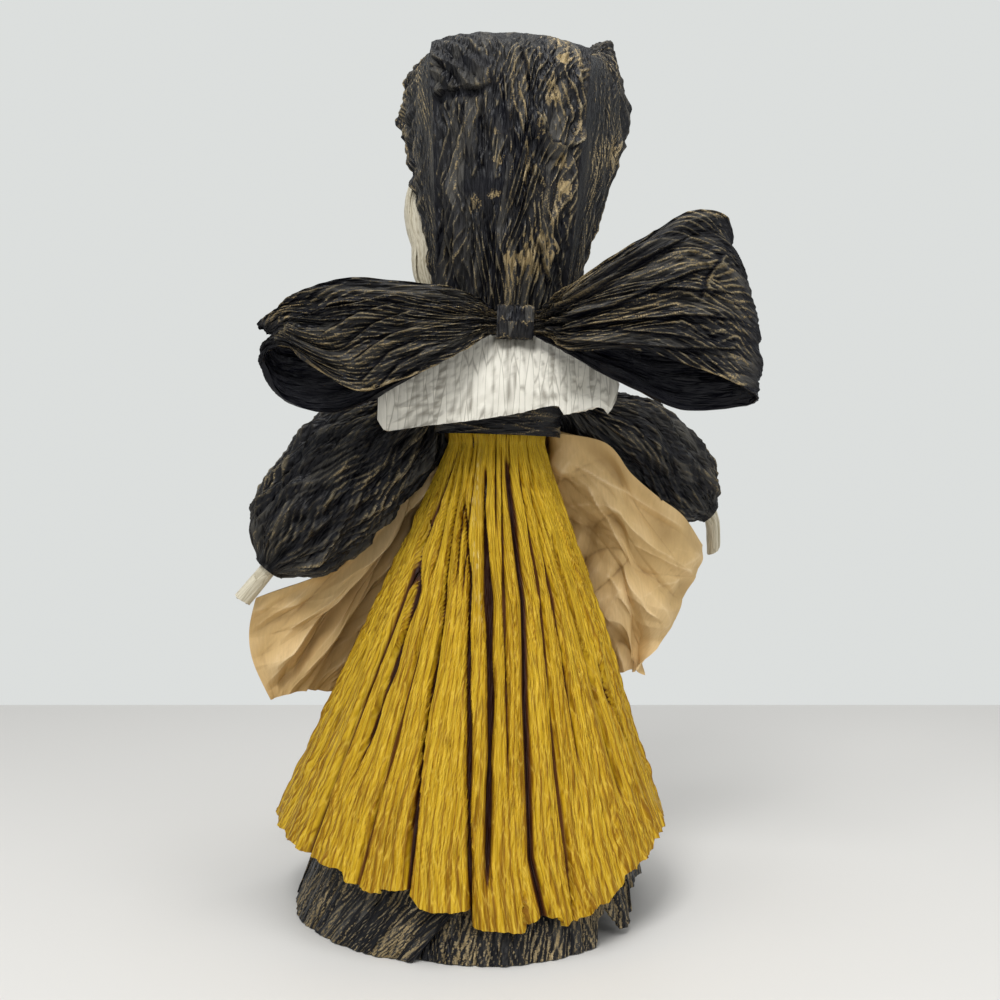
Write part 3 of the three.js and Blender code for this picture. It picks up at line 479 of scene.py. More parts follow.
class Finish:
    """Short ways to add the few kinds of node that the paper finishes use."""

    def __init__(self, name, roughness, specular):
        self.material, self.tree, self.shader = node_finish(name)
        self.shader.inputs["Roughness"].default_value = roughness
        self.shader.inputs["Specular IOR Level"].default_value = specular

    def node(self, kind, **inputs):
        made = self.tree.nodes.new(kind)
        for key, value in inputs.items():
            self.feed(made.inputs[key.replace("_", " ")], value)
        return made

    def feed(self, socket, value):
        """Links an output to a socket, or sets the socket's own value."""
        if isinstance(value, bpy.types.NodeSocket):
            self.tree.links.new(value, socket)
        else:
            socket.default_value = value

    def math(self, operation, a, b):
        made = self.tree.nodes.new("ShaderNodeMath")
        made.operation = operation
        self.feed(made.inputs[0], a)
        self.feed(made.inputs[1], b)
        return made.outputs[0]

    def add(self, a, b):
        return self.math("ADD", a, b)

    def times(self, a, b):
        return self.math("MULTIPLY", a, b)

    def give(self, name, value):
        """Feeds one of the shader's inputs."""
        self.feed(self.shader.inputs[name], value)

    def attribute(self, name):
        made = self.tree.nodes.new("ShaderNodeAttribute")
        made.attribute_name = name
        return made.outputs["Fac"]

    def ramp(self, value, *stops):
        """Colours at places from 0 to 1, mixed evenly between."""
        made = self.tree.nodes.new("ShaderNodeValToRGB")
        self.feed(made.inputs[0], value)
        while len(made.color_ramp.elements) < len(stops):
            made.color_ramp.elements.new(1.0)
        for element, (place, colour) in zip(made.color_ramp.elements, stops):
            element.position = place
            element.color = (*colour, 1.0)
        return made.outputs["Color"]

    def fade(self, value, start, end, first, last):
        """A grey that is first up to start and last from end on, mixed evenly between."""
        return self.ramp(value, (start, (first,) * 3), (end, (last,) * 3))

    def blend(self, share, a, b):
        made = self.tree.nodes.new("ShaderNodeMix")
        made.data_type = "RGBA"
        self.feed(made.inputs["Factor"], share)
        self.feed(made.inputs["A"], a)
        self.feed(made.inputs["B"], b)
        return made.outputs["Result"]

    def place(self):
        """The object's own coordinates."""
        return self.tree.nodes.new("ShaderNodeTexCoord").outputs["Object"]

    def scaled(self, place, scale):
        """Coordinates multiplied by a scale along each axis."""
        made = self.node("ShaderNodeMapping", Vector=place)
        made.inputs["Scale"].default_value = scale
        return made.outputs[0]

    def ribbon(self, stretch):
        """The UV map, with its length multiplied by stretch, so that patterns are drawn out along it."""
        uv = self.tree.nodes.new("ShaderNodeUVMap")
        uv.uv_map = "paper"
        return self.scaled(uv.outputs[0], (1.0, stretch, 1.0))

    def specks(self, place, size, detail):
        """Noise at a place: size is the width of a speck in metres."""
        return self.node("ShaderNodeTexNoise", Vector=place, Scale=1.0 / size, Detail=detail).outputs[0]

    def fibres(self, size, detail=4.0):
        """Noise stretched along the ribbon."""
        return self.specks(self.ribbon(FIBRE_STRETCH), size, detail)

    def blotches(self, size, detail=3.0):
        """Even noise through the object."""
        return self.specks(self.place(), size, detail)

    def cells(self, size, stretch, feature):
        """Cells of a Voronoi pattern on the ribbon, drawn out along it and made uneven by noise: size is
        a cell's width in metres. The feature is F1, each cell, or DISTANCE_TO_EDGE, its outline."""
        lengthways = self.ribbon(stretch)
        uneven = self.node("ShaderNodeTexNoise", Vector=lengthways, Scale=0.7 / size, Detail=2.0)
        small = self.tree.nodes.new("ShaderNodeVectorMath")
        small.operation = "SCALE"
        self.feed(small.inputs[0], uneven.outputs["Color"])
        small.inputs["Scale"].default_value = 0.45 * size
        moved = self.tree.nodes.new("ShaderNodeVectorMath")
        self.feed(moved.inputs[0], lengthways)
        self.feed(moved.inputs[1], small.outputs[0])
        made = self.node("ShaderNodeTexVoronoi", Vector=moved.outputs[0], Scale=1.0 / size)
        made.voronoi_dimensions = "2D"
        made.feature = feature
        return made

    def outlines(self, size, stretch):
        """The distance from a cell's outline, in cells: 0 on a fold line, about 0.4 in the middle."""
        return self.cells(size, stretch, "DISTANCE_TO_EDGE").outputs["Distance"]

    def facets(self, size, stretch):
        """A chance number from 0 to 1 for each cell."""
        split = self.tree.nodes.new("ShaderNodeSeparateColor")
        self.feed(split.inputs[0], self.cells(size, stretch, "F1").outputs["Color"])
        return split.outputs[0]

    def bump(self, height, strength, distance):
        made = self.node("ShaderNodeBump", Height=height, Strength=strength, Distance=distance)
        self.give("Normal", made.outputs[0])


# %% [markdown]
# ### Black paper brushed with gold
# Dyed black, faintly blue and a little shiny. The paint is thin: a crest shows it as a broken line,
# and where the brush pressed harder it makes a blotch.


# %% Black and gold finish
RIDGE_HIGHLIGHT = (0.215, 0.182, 0.118, 1)
FOLD_LINE_SHADE = (0.0022, 0.0022, 0.0035, 1)
VALLEY_SHADE = (0.0018, 0.0018, 0.0030, 1)
SHADE_AND_BARE_BLACK = (0.0022, 0.0024, 0.0055, 1)


def black_gold():
    """Each facet between fold lines gets a random shade of black, from near black to a lit grey, and the
    fold lines and, by the edge attribute, the valleys are near black: painted light and shade of crumpled
    paper. Ridges, by the edge attribute, get a pale painted highlight in patches. Paint grows with the
    sheet's gold attribute, by facets, specks and ridges; a further attribute adds painted shade at the feet
    of folds, along edges under an overlap and on the unpainted far face of a loop, and darkens smooth
    places to bare dye."""
    f = Finish("black_gold_paper", 0.5, 0.2)
    facet = f.facets(0.0034, 0.16)
    lines = f.outlines(0.0034, 0.16)
    fine = f.outlines(0.0013, 0.2)
    specks = f.blotches(0.0006, 2.0)
    edge = f.attribute("edge")
    # A random shade for each facet, up to a lit grey: painted light and shade of facets.
    shade = f.ramp(
        facet,
        (0.1, (0.0030, 0.0033, 0.0060)),
        (0.6, (0.0125, 0.0122, 0.0135)),
        (1.0, (0.0700, 0.0665, 0.0600)),
    )
    gold = f.attribute("gold")
    level = f.add(gold, f.times(f.math("SUBTRACT", facet, 0.5), 0.3))
    level = f.add(level, f.times(f.math("SUBTRACT", specks, 0.5), 1.4))
    level = f.add(level, f.times(edge, 0.3))
    paint = f.ramp(level, (0.6, (0.0,) * 3), (0.8, (0.5,) * 3), (1.0, (1.0,) * 3))
    tint = f.ramp(f.blotches(0.012), (0.35, (0.24, 0.175, 0.080)), (0.65, (0.46, 0.35, 0.185)))
    painted = f.blend(paint, shade, tint)
    # Pale lines on ridges, in patches and more where there is gold: a painted highlight.
    highlight_patches = f.fade(f.blotches(0.004), 0.4, 0.6, 0.15, 1.0)
    ridge = f.times(f.fade(edge, 0.2, 0.9, 0.0, 0.95), highlight_patches)
    ridge = f.times(ridge, f.fade(gold, 0.1, 0.55, 0.15, 1.0))
    painted = f.blend(ridge, painted, RIDGE_HIGHLIGHT)
    # Fold lines and valleys near black: painted shade in the creases.
    folded = f.blend(f.fade(lines, 0.0, 0.07, 0.6, 0.0), painted, FOLD_LINE_SHADE)
    folded = f.blend(f.fade(f.times(edge, -1.0), 0.2, 0.9, 0.0, 0.9), folded, VALLEY_SHADE)
    # Painted shade from the sheet's attribute, and bare blue-black dye on smooth places.
    f.give("Base Color", f.blend(f.attribute("inside"), folded, SHADE_AND_BARE_BLACK))
    f.give("Metallic", f.times(paint, 0.2))
    f.give("Roughness", f.fade(facet, 0.2, 0.8, 0.38, 0.58))
    f.bump(f.add(f.times(lines, 1.6), fine), 0.7, 0.0013)
    return f.material


BLACK_GOLD = black_gold()
print("finish:", BLACK_GOLD.name)

# %% [markdown]
# ### Mustard paper
# The colour runs from bright ochre on the crests to a brown that is almost black at the bottom of a
# pleat: light on the crests and shade in the folds and pleats are painted into it.


# %% Mustard finish
# Painted shade of fold lines and valleys, and painted highlight of fine lines and ridges.
FOLD_SHADE_BROWN = (0.19, 0.085, 0.003, 1)
FINE_HIGHLIGHT_LINE = (0.74, 0.52, 0.07, 1)
RIDGE_HIGHLIGHT_OCHRE = (0.76, 0.54, 0.075, 1)
VALLEY_SHADE_BROWN = (0.17, 0.070, 0.003, 1)
GLUE_GLINT = (0.70, 0.55, 0.22, 1)


def crest_level(f, facet):
    """A level from the crest attribute and a chance number for each facet."""
    return f.add(f.times(f.attribute("crest"), 0.3), f.times(facet, 0.3))


def mustard():
    """Colour by the crest attribute and by facets, with brown fold lines between them and finer pale lines;
    paler on ridges, browner in valleys and darkened by the pleat attribute. All of it is painted light and
    shade: highlight on crests, ridges and the pale lines, shade in fold lines, valleys and pleats. The gloss
    attribute marks a streak of dried glue, less rough, whose small flakes glitter by a painted glint."""
    f = Finish("mustard_paper", 0.52, 0.16)
    facet = f.facets(0.0022, 0.055)
    lines = f.outlines(0.0022, 0.055)
    fine = f.outlines(0.0012, 0.1)
    # From dark brown in folds to bright ochre on crests: painted shade and light.
    ochre = f.ramp(
        crest_level(f, facet),
        (0.0, (0.30, 0.150, 0.004)),
        (0.1, (0.42, 0.235, 0.007)),
        (0.25, (0.50, 0.300, 0.010)),
        (0.5, (0.60, 0.385, 0.020)),
    )
    edge = f.attribute("edge")
    folded = f.blend(f.fade(lines, 0.0, 0.1, 0.65, 0.0), ochre, FOLD_SHADE_BROWN)
    folded = f.blend(f.fade(fine, 0.0, 0.1, 0.45, 0.0), folded, FINE_HIGHLIGHT_LINE)
    folded = f.blend(f.fade(edge, 0.2, 1.0, 0.0, 0.5), folded, RIDGE_HIGHLIGHT_OCHRE)
    folded = f.blend(f.fade(f.times(edge, -1.0), 0.2, 1.0, 0.0, 0.7), folded, VALLEY_SHADE_BROWN)
    gloss = f.attribute("gloss")
    pleat = f.attribute("pleat")
    # Pale flakes on the glue streak: a painted glint. The streak is also less rough.
    flake = f.fade(f.facets(0.0009, 0.45), 0.6, 1.0, 0.0, 0.8)
    glued = f.blend(f.times(gloss, flake), folded, GLUE_GLINT)
    # Painted shade at the bottom of a pleat, near black where it is deepest.
    deep = f.ramp(pleat, (0.4, (0.10, 0.032, 0.003)), (0.9, (0.022, 0.006, 0.003)))
    f.give("Base Color", f.blend(f.fade(pleat, 0.2, 0.5, 0.0, 1.0), glued, deep))
    f.give("Roughness", f.fade(gloss, 0.0, 0.8, 0.52, 0.28))
    f.bump(f.add(f.times(lines, 1.2), fine), 0.7, 0.0009)
    return f.material


MUSTARD = mustard()
print("finish:", MUSTARD.name)

# %% [markdown]
# ### White, cream and brown paper
# The collar is undyed paper, and face, hands and hair are a warmer cream; their grey folds and paler
# crests are painted shade and light. The apron is plain brown wrapping paper, smooth but for its
# creases, with a faint lengthways grain.


# %% Undyed finishes
def undyed(name, light, shade, width, bump):
    """Painted light and shade: colour from shade in the folds to light on the crests, by the crest
    attribute and by facets, with grey lines of painted shade of the given width along the folds."""
    f = Finish(name, 0.62, 0.35)
    facet = f.facets(width, 0.1)
    lines = f.outlines(width, 0.1)
    body = f.ramp(crest_level(f, facet), (0.0, shade), (0.35, light))
    f.give("Base Color", f.blend(f.fade(lines, 0.0, 0.06, 0.9, 0.0), body, (*shade, 1)))
    f.bump(lines, bump, 0.0007)
    return f.material


GRAIN_BROWN = (0.42, 0.27, 0.12, 1)
# Painted highlight on ridges and painted shade in valleys.
RIDGE_HIGHLIGHT_TAN = (0.86, 0.67, 0.40, 1)
VALLEY_SHADE_TAN = (0.30, 0.175, 0.07, 1)


def kraft():
    """Brown paper in broad soft patches, with a grain of fine fibres; paler on crests and ridges and
    darker in valleys, which is painted light and shade."""
    f = Finish("kraft_paper", 0.68, 0.3)
    fibres = f.fibres(0.0008)
    edge = f.attribute("edge")
    # Paler crests are painted light; the blotches are the paper's own uneven tone.
    level = f.add(f.times(f.attribute("crest"), 0.35), f.blotches(0.035))
    tan = f.ramp(level, (0.2, (0.46, 0.305, 0.125)), (0.5, (0.65, 0.45, 0.20)), (0.85, (0.76, 0.55, 0.28)))
    tan = f.blend(f.fade(fibres, 0.35, 0.65, 0.0, 0.22), tan, GRAIN_BROWN)
    tan = f.blend(f.fade(edge, 0.15, 1.0, 0.0, 0.6), tan, RIDGE_HIGHLIGHT_TAN)
    valley = f.fade(f.times(edge, -1.0), 0.15, 1.0, 0.0, 0.65)
    f.give("Base Color", f.blend(valley, tan, VALLEY_SHADE_TAN))
    f.bump(fibres, 0.2, 0.0004)
    return f.material


WHITE = undyed("white_paper", (0.72, 0.695, 0.61), (0.34, 0.32, 0.27), 0.0026, 0.8)
CREAM = undyed("cream_paper", (0.64, 0.59, 0.46), (0.36, 0.31, 0.21), 0.0011, 0.5)
KRAFT = kraft()
print("finishes:", WHITE.name, CREAM.name, KRAFT.name)

# %% [markdown]
# ## Overskirt
# Five lengths of mustard ribbon hang from the waist. Each is gathered tightly there and opens to its
# full width at the hem, in round folds with deep pleats between them. A simulation would give some
# set of pleats; here the pleats have to fall where the photograph shows them, so each is a path down
# the skirt, and the surface drops along it.

# %% Skirt outlines
PANELS = 5
SPAN = 360.0 / PANELS
GATHER = 10.0
UNDER_WAIST, OVER_WAIST = 17.4, 19.8
OVER_HEM_RADIUS, UNDER_HEM_RADIUS = 79.5, 77.5
OVER_STEP = 0.5
SEAM_GAP = 0.12
# Direction round the doll in degrees (0 its left, 90 its back) and the hem's height there.
OVER_HEM = [
    (-36, 29), (0, 36), (20, 35), (32, 33), (44, 30.5), (50.4, 29.8), (51, 27.3), (58, 24.4), (62, 24.5),
    (63, 26.5), (69, 26.5), (70, 25), (74, 21), (80, 20), (87.2, 20.2), (87.6, 15.6), (89, 14.6),
    (95.5, 13), (102.4, 12.4), (102.8, 15.8), (106, 16.8), (111.7, 16.3), (113, 13), (118, 14), (122, 15.1),
    (122.5, 17.1), (127.4, 18), (131, 21), (135.2, 22.9), (135.7, 26.3), (143, 28.5), (151, 30.5),
    (152, 34), (166, 34.5), (180, 35), (216, 28), (240, 18.5), (241, 21), (252, 16.5), (270, 13.2),
    (271, 16), (288, 17.5), (300, 20), (301, 23.5), (324, 29), (360, 36), (396, 31.5),
]


def leftness(degrees):
    """The cosine of a direction, or 0 on the doll's right."""
    return np.maximum(0.0, np.cos(np.radians(degrees)))


def over_hem_radius(degrees):
    """The hem flares more on the doll's left and is drawn in on its right."""
    return OVER_HEM_RADIUS + 7.0 * leftness(degrees) ** 2 - 3.5 * leftness(180 - degrees) ** 2


def under_hem_radius(degrees):
    """The underskirt's hem, drawn in on the doll's right."""
    return UNDER_HEM_RADIUS - 8.0 * leftness(180 - degrees) ** 2


def hem_height(degrees, rows, seed):
    """The hem's height from its rows, and the small teeth of a torn edge."""
    arc = np.radians(degrees) * OVER_HEM_RADIUS
    teeth = 0.7 * noise(arc / 2.1, arc * 0, seed) + 0.9 * noise(arc / 5.7, arc * 0 + 3.5, seed)
    return follow(rows, degrees), teeth


def flare(z, hem, power):
    """How far the skirt has opened at a height: 0 in the gathers, 1 at the hem."""
    return np.clip((WAIST_TOP - GATHER - z) / (WAIST_TOP - GATHER - hem), 0.0, 1.0) ** power


print("overskirt hem from %.1f to %.1f mm" % (min(h for _, h in OVER_HEM), max(h for _, h in OVER_HEM)))

# %% [markdown]
# ### Pleats
# A pleat is a path from the waist to the hem, written as shares of the way down and directions, with
# the stretch where it is open, its depth and its width. The pleats at the front, which the photograph
# doesn't show, come from seeded chance.

# %% Pleat paths
PLEATS = [
    ([(0.1, 78), (0.19, 80.7), (0.38, 88.1), (0.58, 91.5), (0.94, 91.8)], 0.08, 0.97, 5.0, 1.7),
    ([(0.15, 60), (0.25, 68), (0.35, 76.3), (0.53, 80.3), (0.66, 83.2), (1, 87.5)], 0.15, 1.1, 3.8, 1.0),
    ([(0.08, 50), (0.16, 53), (0.27, 57), (0.47, 65), (0.6, 65.7), (1, 69.6)], 0.06, 1.1, 4.2, 1.2),
    ([(0.2, 27), (0.32, 34), (0.41, 42.8), (0.5, 44.2), (0.8, 43.3)], 0.08, 0.86, 4.4, 2.3),
    ([(0.09, 134), (0.31, 138.5), (0.57, 143), (0.72, 142), (0.9, 142.5)], 0.24, 0.9, 4.2, 1.5),
    ([(0.55, 150), (0.65, 152.2), (0.79, 156), (0.95, 156.5)], 0.55, 1.0, 4.0, 1.6),
    ([(0.05, 66), (0.3, 71), (0.5, 75)], 0.03, 0.45, 2.4, 0.8),
    ([(0.05, 95), (0.3, 97), (0.7, 98.5)], 0.03, 0.8, 2.2, 0.8),
    ([(0.05, 114), (0.35, 120), (0.7, 117), (1, 117)], 0.03, 1.1, 2.0, 1.0),
    ([(0.1, 124), (0.4, 128), (0.75, 127)], 0.05, 0.8, 2.2, 1.0),
    ([(0.3, 56), (1, 55)], 0.35, 1.1, 1.8, 1.3),
    ([(0.1, 14), (0.5, 22), (1, 22)], 0.05, 0.9, 3.0, 1.6),
    ([(0.1, 160), (0.5, 168), (1, 170)], 0.05, 0.9, 2.6, 1.2),
    ([(0.02, 58), (0.2, 62.5), (0.4, 70)], 0.0, 0.42, 3.0, 0.8),
    ([(0.02, 40), (0.2, 46), (0.35, 52)], 0.0, 0.4, 3.2, 0.9),
    ([(0.02, 104), (0.3, 107), (0.5, 109)], 0.0, 0.5, 2.8, 0.7),
    ([(0.02, 128), (0.25, 133), (0.4, 136)], 0.0, 0.35, 2.8, 0.8),
    ([(0.02, 88), (0.2, 91), (0.35, 94)], 0.0, 0.3, 2.6, 0.6),
]
FRONT_WIDTH = 1.3
draw = np.random.default_rng(41)
for place in np.arange(196, 372, 13):
    sway = draw.uniform(-5, 5, 3) + place
    opened, closed = draw.uniform(0.02, 0.25), draw.uniform(0.7, 1.15)
    front_path = [(0.1, sway[0]), (0.5, sway[1]), (1, sway[2])]
    PLEATS.append((front_path, opened, closed, draw.uniform(2.4, 4.2), FRONT_WIDTH))


def pleat_depth(degrees, t, radius):
    """How far the skirt drops, and how much painted shade it takes: each pleat is a narrow bell inside a
    wide one, across its path; the narrow one is painted dark as shade, and tapers to both ends."""
    drop, dark = np.zeros_like(t), np.zeros_like(t)
    for path, opened, closed, depth, width in PLEATS:
        line = follow(path, t)
        off = np.radians((degrees - line + 180) % 360 - 180) * radius
        reach = ease(opened, opened + 0.1, t) * (1 - ease(closed - 0.12, closed, t))
        taper = np.sin(np.pi * np.clip((t - opened) / (closed - opened), 0, 1)) ** 0.5
        waver = 1 + 1.1 * noise(t * 9, t * 0 + 7.3 * depth, 17)
        slit = width * mix(0.4, 1.0, ease(0.0, 0.4, t)) * (0.35 + 0.75 * taper) * waver
        narrow, wide = ease(1.1 * slit, 0.7 * slit, np.abs(off)), np.exp(-((off / (3.4 * width)) ** 2))
        drop = np.maximum(drop, 1.25 * depth * reach * (0.64 * narrow + 0.36 * wide))
        # dark: painted shade in the pleat's slit.
        dark = np.maximum(dark, reach * ease(1.0 * slit, 0.35 * slit, np.abs(off)) * depth / 3.6)
    return drop, dark


def glue_streak(degrees, t, radius):
    """A streak beside the first pleat, on the side of the doll's left, from the waist to half way."""
    line = follow(PLEATS[0][0], t)
    off = np.radians(degrees - line) * radius + 3.6
    broken = ease(-0.25, 0.15, noise(t * 21, off / 3.0, 19))
    return np.exp(-((off / 1.8) ** 2)) * ease(0.02, 0.06, t) * (1 - ease(0.35, 0.5, t)) * broken


print("pleats:", len(PLEATS))

# %% [markdown]
# ### The five lengths
# Neighbouring lengths meet at the bottom of a pleat, which hides the seam. The seam nearest the
# middle of the back wanders as the photograph shows.

# %% Overskirt sheets
# Columns and rows of each length: the ones at the back are the finest.
OVER_GRIDS = [(300, 220), (300, 220), (150, 110), (150, 110), (220, 170)]
RIBBON_WIDTH = 100.0
RIBBON = 0.5
# How far the grain turns about the skirt, in degrees, on its way down: the pleats turn with it.
GRAIN_SWIRL = [(0, -12), (0.1, -10.5), (0.25, -6), (0.4, -2), (0.55, 0), (1, 1)]
SEAM_SWAY = [(0.0, -8), (0.085, -7), (0.22, -2.5), (0.39, 0.5), (0.59, -2.1), (0.89, -3.2), (1.0, -0.4)]


def over_seam(k, t):
    """The direction of a seam at a share of the way down; the second one sways as a pleat does."""
    sway = follow(SEAM_SWAY, t) if k % PANELS == 1 else 0.0 * t
    return (k + OVER_STEP) * SPAN + sway


def overskirt_panel(k):
    """One length: a direction and a height for each point, at the skirt's radius there less the drop
    of its pleats and of its seams, plus broad folds, tight gathers and creases."""
    u, t = grid(*OVER_GRIDS[k])
    start, end = over_seam(k, t), over_seam(k + 1, t)
    degrees = mix(start, end, u)
    hem, teeth = hem_height(degrees % 360, OVER_HEM, 11)
    z = mix(WAIST_TOP, hem, t) + teeth * t**6
    opened = flare(z, hem, 1.0)
    radius = mix(OVER_WAIST, over_hem_radius(degrees), opened)
    gap = np.degrees(SEAM_GAP / radius)
    degrees = mix(start + gap, end - gap, u)
    from_seam = np.minimum(u, 1 - u) * np.radians(SPAN) * radius
    drop, dark = pleat_depth(degrees, t, radius)
    seam = ease(0.02, 0.14, t) * np.exp(-((from_seam / 1.7) ** 2))
    # Seams drop like pleats and take painted shade.
    drop, dark = np.maximum(drop, 3.6 * seam), np.maximum(dark, seam**2)
    swirl = follow(GRAIN_SWIRL, t)
    across = (u + k - swirl / SPAN) * RIBBON_WIDTH
    along = t * (WAIST_TOP - hem)
    valleys = creases(across, along, 5.5, 130.0, 23)
    folds = 1.4 * opened * noise(across / 13.0, along / 95.0, 21) + 0.6 * valleys - 0.5
    height, crest = crinkle(across, along, 31)
    height = height * mix(0.45, 1.1, ease(0.0, 0.3, t)) * mix(1.0, 0.08, np.clip(drop / 2.0, 0, 1))
    cone = round_spine(degrees, radius, z)
    radius = radius + folds * ease(0.0, 0.12, t) - drop
    base = round_spine(degrees, radius, z)
    # Painted light: lighter near the waist and darker towards the hem.
    crest = crest + 0.9 * (1 - ease(0.0, 0.45, t)) - 0.6 * ease(0.5, 1.0, t)
    # pleat: painted shade in slits, seams and deep valleys near the top.
    pleat = np.clip(dark + 0.36 * ease(-0.85, -1.2, valleys) * (1 - ease(0.4, 0.8, t)), 0, 1)
    name = "overskirt_%d" % (k + 1)
    gloss = glue_streak(degrees, t, radius)
    thing = paper(
        name, base, RIBBON, height, across, along, facing=cone, crest=crest, pleat=pleat, gloss=gloss
    )
    dress(thing, MUSTARD, "body", "overskirt_panel_%d" % (k + 1))


for k in range(PANELS):
    overskirt_panel(k)

# %% [markdown]
# ## Underskirt
# The black lengths under it show only along the floor, so their points are spent there: the upper
# rows are far apart and plain, and drawn in a little so that the pleats above have room. The first
# length's edge stands proud of the second's, as a dark slanting slit in the photograph.

# %% Underskirt sheets
UNDER_GRIDS = [(280, 110), (280, 110), (240, 110), (120, 70), (120, 70)]
# Directions and heights of its hem, and how far the first length's edge slants at each height.
UNDER_HEM = [
    (0, 0), (126, 0), (127, 2), (129, 9), (133, 12), (136, 7), (139, 2.5), (150, 4.5), (151, 12.5),
    (165, 13), (172, 12), (174, 19), (186, 20), (194, 8), (203, 0), (360, 0), (432, 0),
]
EDGE_SLANT = [(0, 0), (18, 11), (30, 12), (70, 0), (201, 0)]


def underskirt_panel(k):
    """One length, from close rows near the floor to far ones at the waist. Its far edge stands proud
    over the next length's near edge, and the hem is lifted on the doll's right."""
    u, v = grid(*UNDER_GRIDS[k])
    t = np.interp(v, [0, 0.2, 1], [0, 0.7, 1])
    start, end = k * SPAN - 2.0, (k + 1) * SPAN
    degrees = mix(start, end, u)
    lift, teeth = hem_height(degrees % 360, UNDER_HEM, 51)
    lift = lift + teeth
    hem = np.maximum(0.0, lift - 0.6 * (lift < 1.5))
    z = mix(WAIST_TOP, hem, t)
    slant = follow(EDGE_SLANT, z)
    degrees = degrees + (slant * u if k == 0 else 0.0)
    shown = ease(70.0, 35.0, z)
    opened = flare(z, 0.0, 1.15)
    radius = mix(UNDER_WAIST, under_hem_radius(degrees), opened)
    arc = (end - start) * np.pi / 180 * radius
    tucked = 21.0 if k == 1 else 9.0
    tuck = 2.8 * np.exp(-((u * arc / tucked) ** 4)) - 1.2 * np.exp(-(((1 - u) * arc / 7.0) ** 2))
    across = (u + k) * RIBBON_WIDTH
    along = t * (WAIST_TOP - hem)
    folds = 2.0 * noise(across / 11.0, along / 90.0, 61) - 0.7
    gathers = 1.7 * (creases(across, along, 3.6, 150.0, 65) - 0.5) * (1 - 0.85 * shown)
    radius = radius + gathers - 1.8 * (1 - shown) * ease(0.0, 0.2, opened) - tuck * shown + folds * shown
    height, crest = crinkle(across, along, 71, size=1.15, ridges=True)
    base = round_spine(degrees, radius, z)
    brushed = noise(across / 16.0, along / 22.0, 81)
    gold = 0.7 + 0.26 * crest + 0.5 * brushed
    name = "underskirt_%d" % (k + 1)
    thing = paper(name, base, RIBBON, height * shown, across, along, gold=gold)
    dress(thing, BLACK_GOLD, "body", "underskirt_panel_%d" % (k + 1))


for k in range(PANELS):
    underskirt_panel(k)

# %% [markdown]
# ## Waistband and bodice
# A black ribbon wound round the waist hides the ties, and another wraps the body above it. Both are
# rings of paper whose creases run round the doll.

# %% Band and bodice
WAISTBAND_RADIUS, WAISTBAND_FOOT, WAISTBAND_TALL = 26.7, 194.5, 12.0
BODICE_RINGS = [
    (201.4, 25.3, 25.3), (206.9, 25.3, 25.3), (221.7, 28.0, 25.3), (231.9, 25.0, 20.0),
    (239.2, 15.0, 15.0), (242.0, 15.0, 15.0),
]


def spine_ring(name, rings, columns, rows, seed):
    """A tube round the spine through rings of height, half width and half depth. Its creases run
    round it, so the distance round is the ribbon's length."""
    u, v = grid(columns, rows)
    ring = spline(rings, v)
    angle = 2 * np.pi * u
    x, y, z = ring[..., 1] * np.cos(angle), ring[..., 2] * np.sin(angle), ring[..., 0]
    tall = rings[-1][0] - rings[0][0]
    round_it = 2 * np.pi * rings[0][1]
    wave = noise(u * 9, v * tall / 6.0, seed + 9, 9)
    sharp = creases(u * round_it, v * tall, 12.0, 2.6, seed, round_it)
    gold = 0.3 + 0.3 * sharp + 0.2 * wave
    height = 0.5 * sharp + 0.5 * wave - 0.5
    thing = paper(name, leaning(x, y, z), RIBBON, height, v * tall, u * round_it, ring=True, gold=gold)
    return dress(thing, BLACK_GOLD, "body", name.replace("_wrap", ""))


band_top = WAISTBAND_FOOT + WAISTBAND_TALL
band_rings = [(h, WAISTBAND_RADIUS, WAISTBAND_RADIUS) for h in (WAISTBAND_FOOT, band_top)]
spine_ring("waistband_wrap", band_rings, 240, 40, 91)
spine_ring("bodice_wrap", BODICE_RINGS, 200, 70, 95)

# %% [markdown]
# ## Collar
# A white ribbon with a hole for the neck is bent over the shoulders like half a tube, and hangs
# straight below that, front and back. Its creases run over the shoulder from front to back.

# %% Collar sheet
COLLAR_HOLE, COLLAR_HALF_WIDTH, COLLAR_BEND, COLLAR_TOP = 16.4, 47.0, 37.0, 245.0
COLLAR_SIDE_DROP, COLLAR_DROP, COLLAR_SKEW = 10.0, 6.5, 0.17
COLLAR_GRID = (340, 90)
# How far the back hem hangs below its line, by the place across it.
COLLAR_TEETH = [
    (-47, -7), (-45.5, 2), (-42.6, 5.5), (-40.5, 1.5), (-36, 2.5), (-25, 3.2), (-24.4, -0.3), (-20, -1.2),
    (-8, 0.2), (8, 0.6), (30, 0.2), (44, 0.3), (47, -4),
]


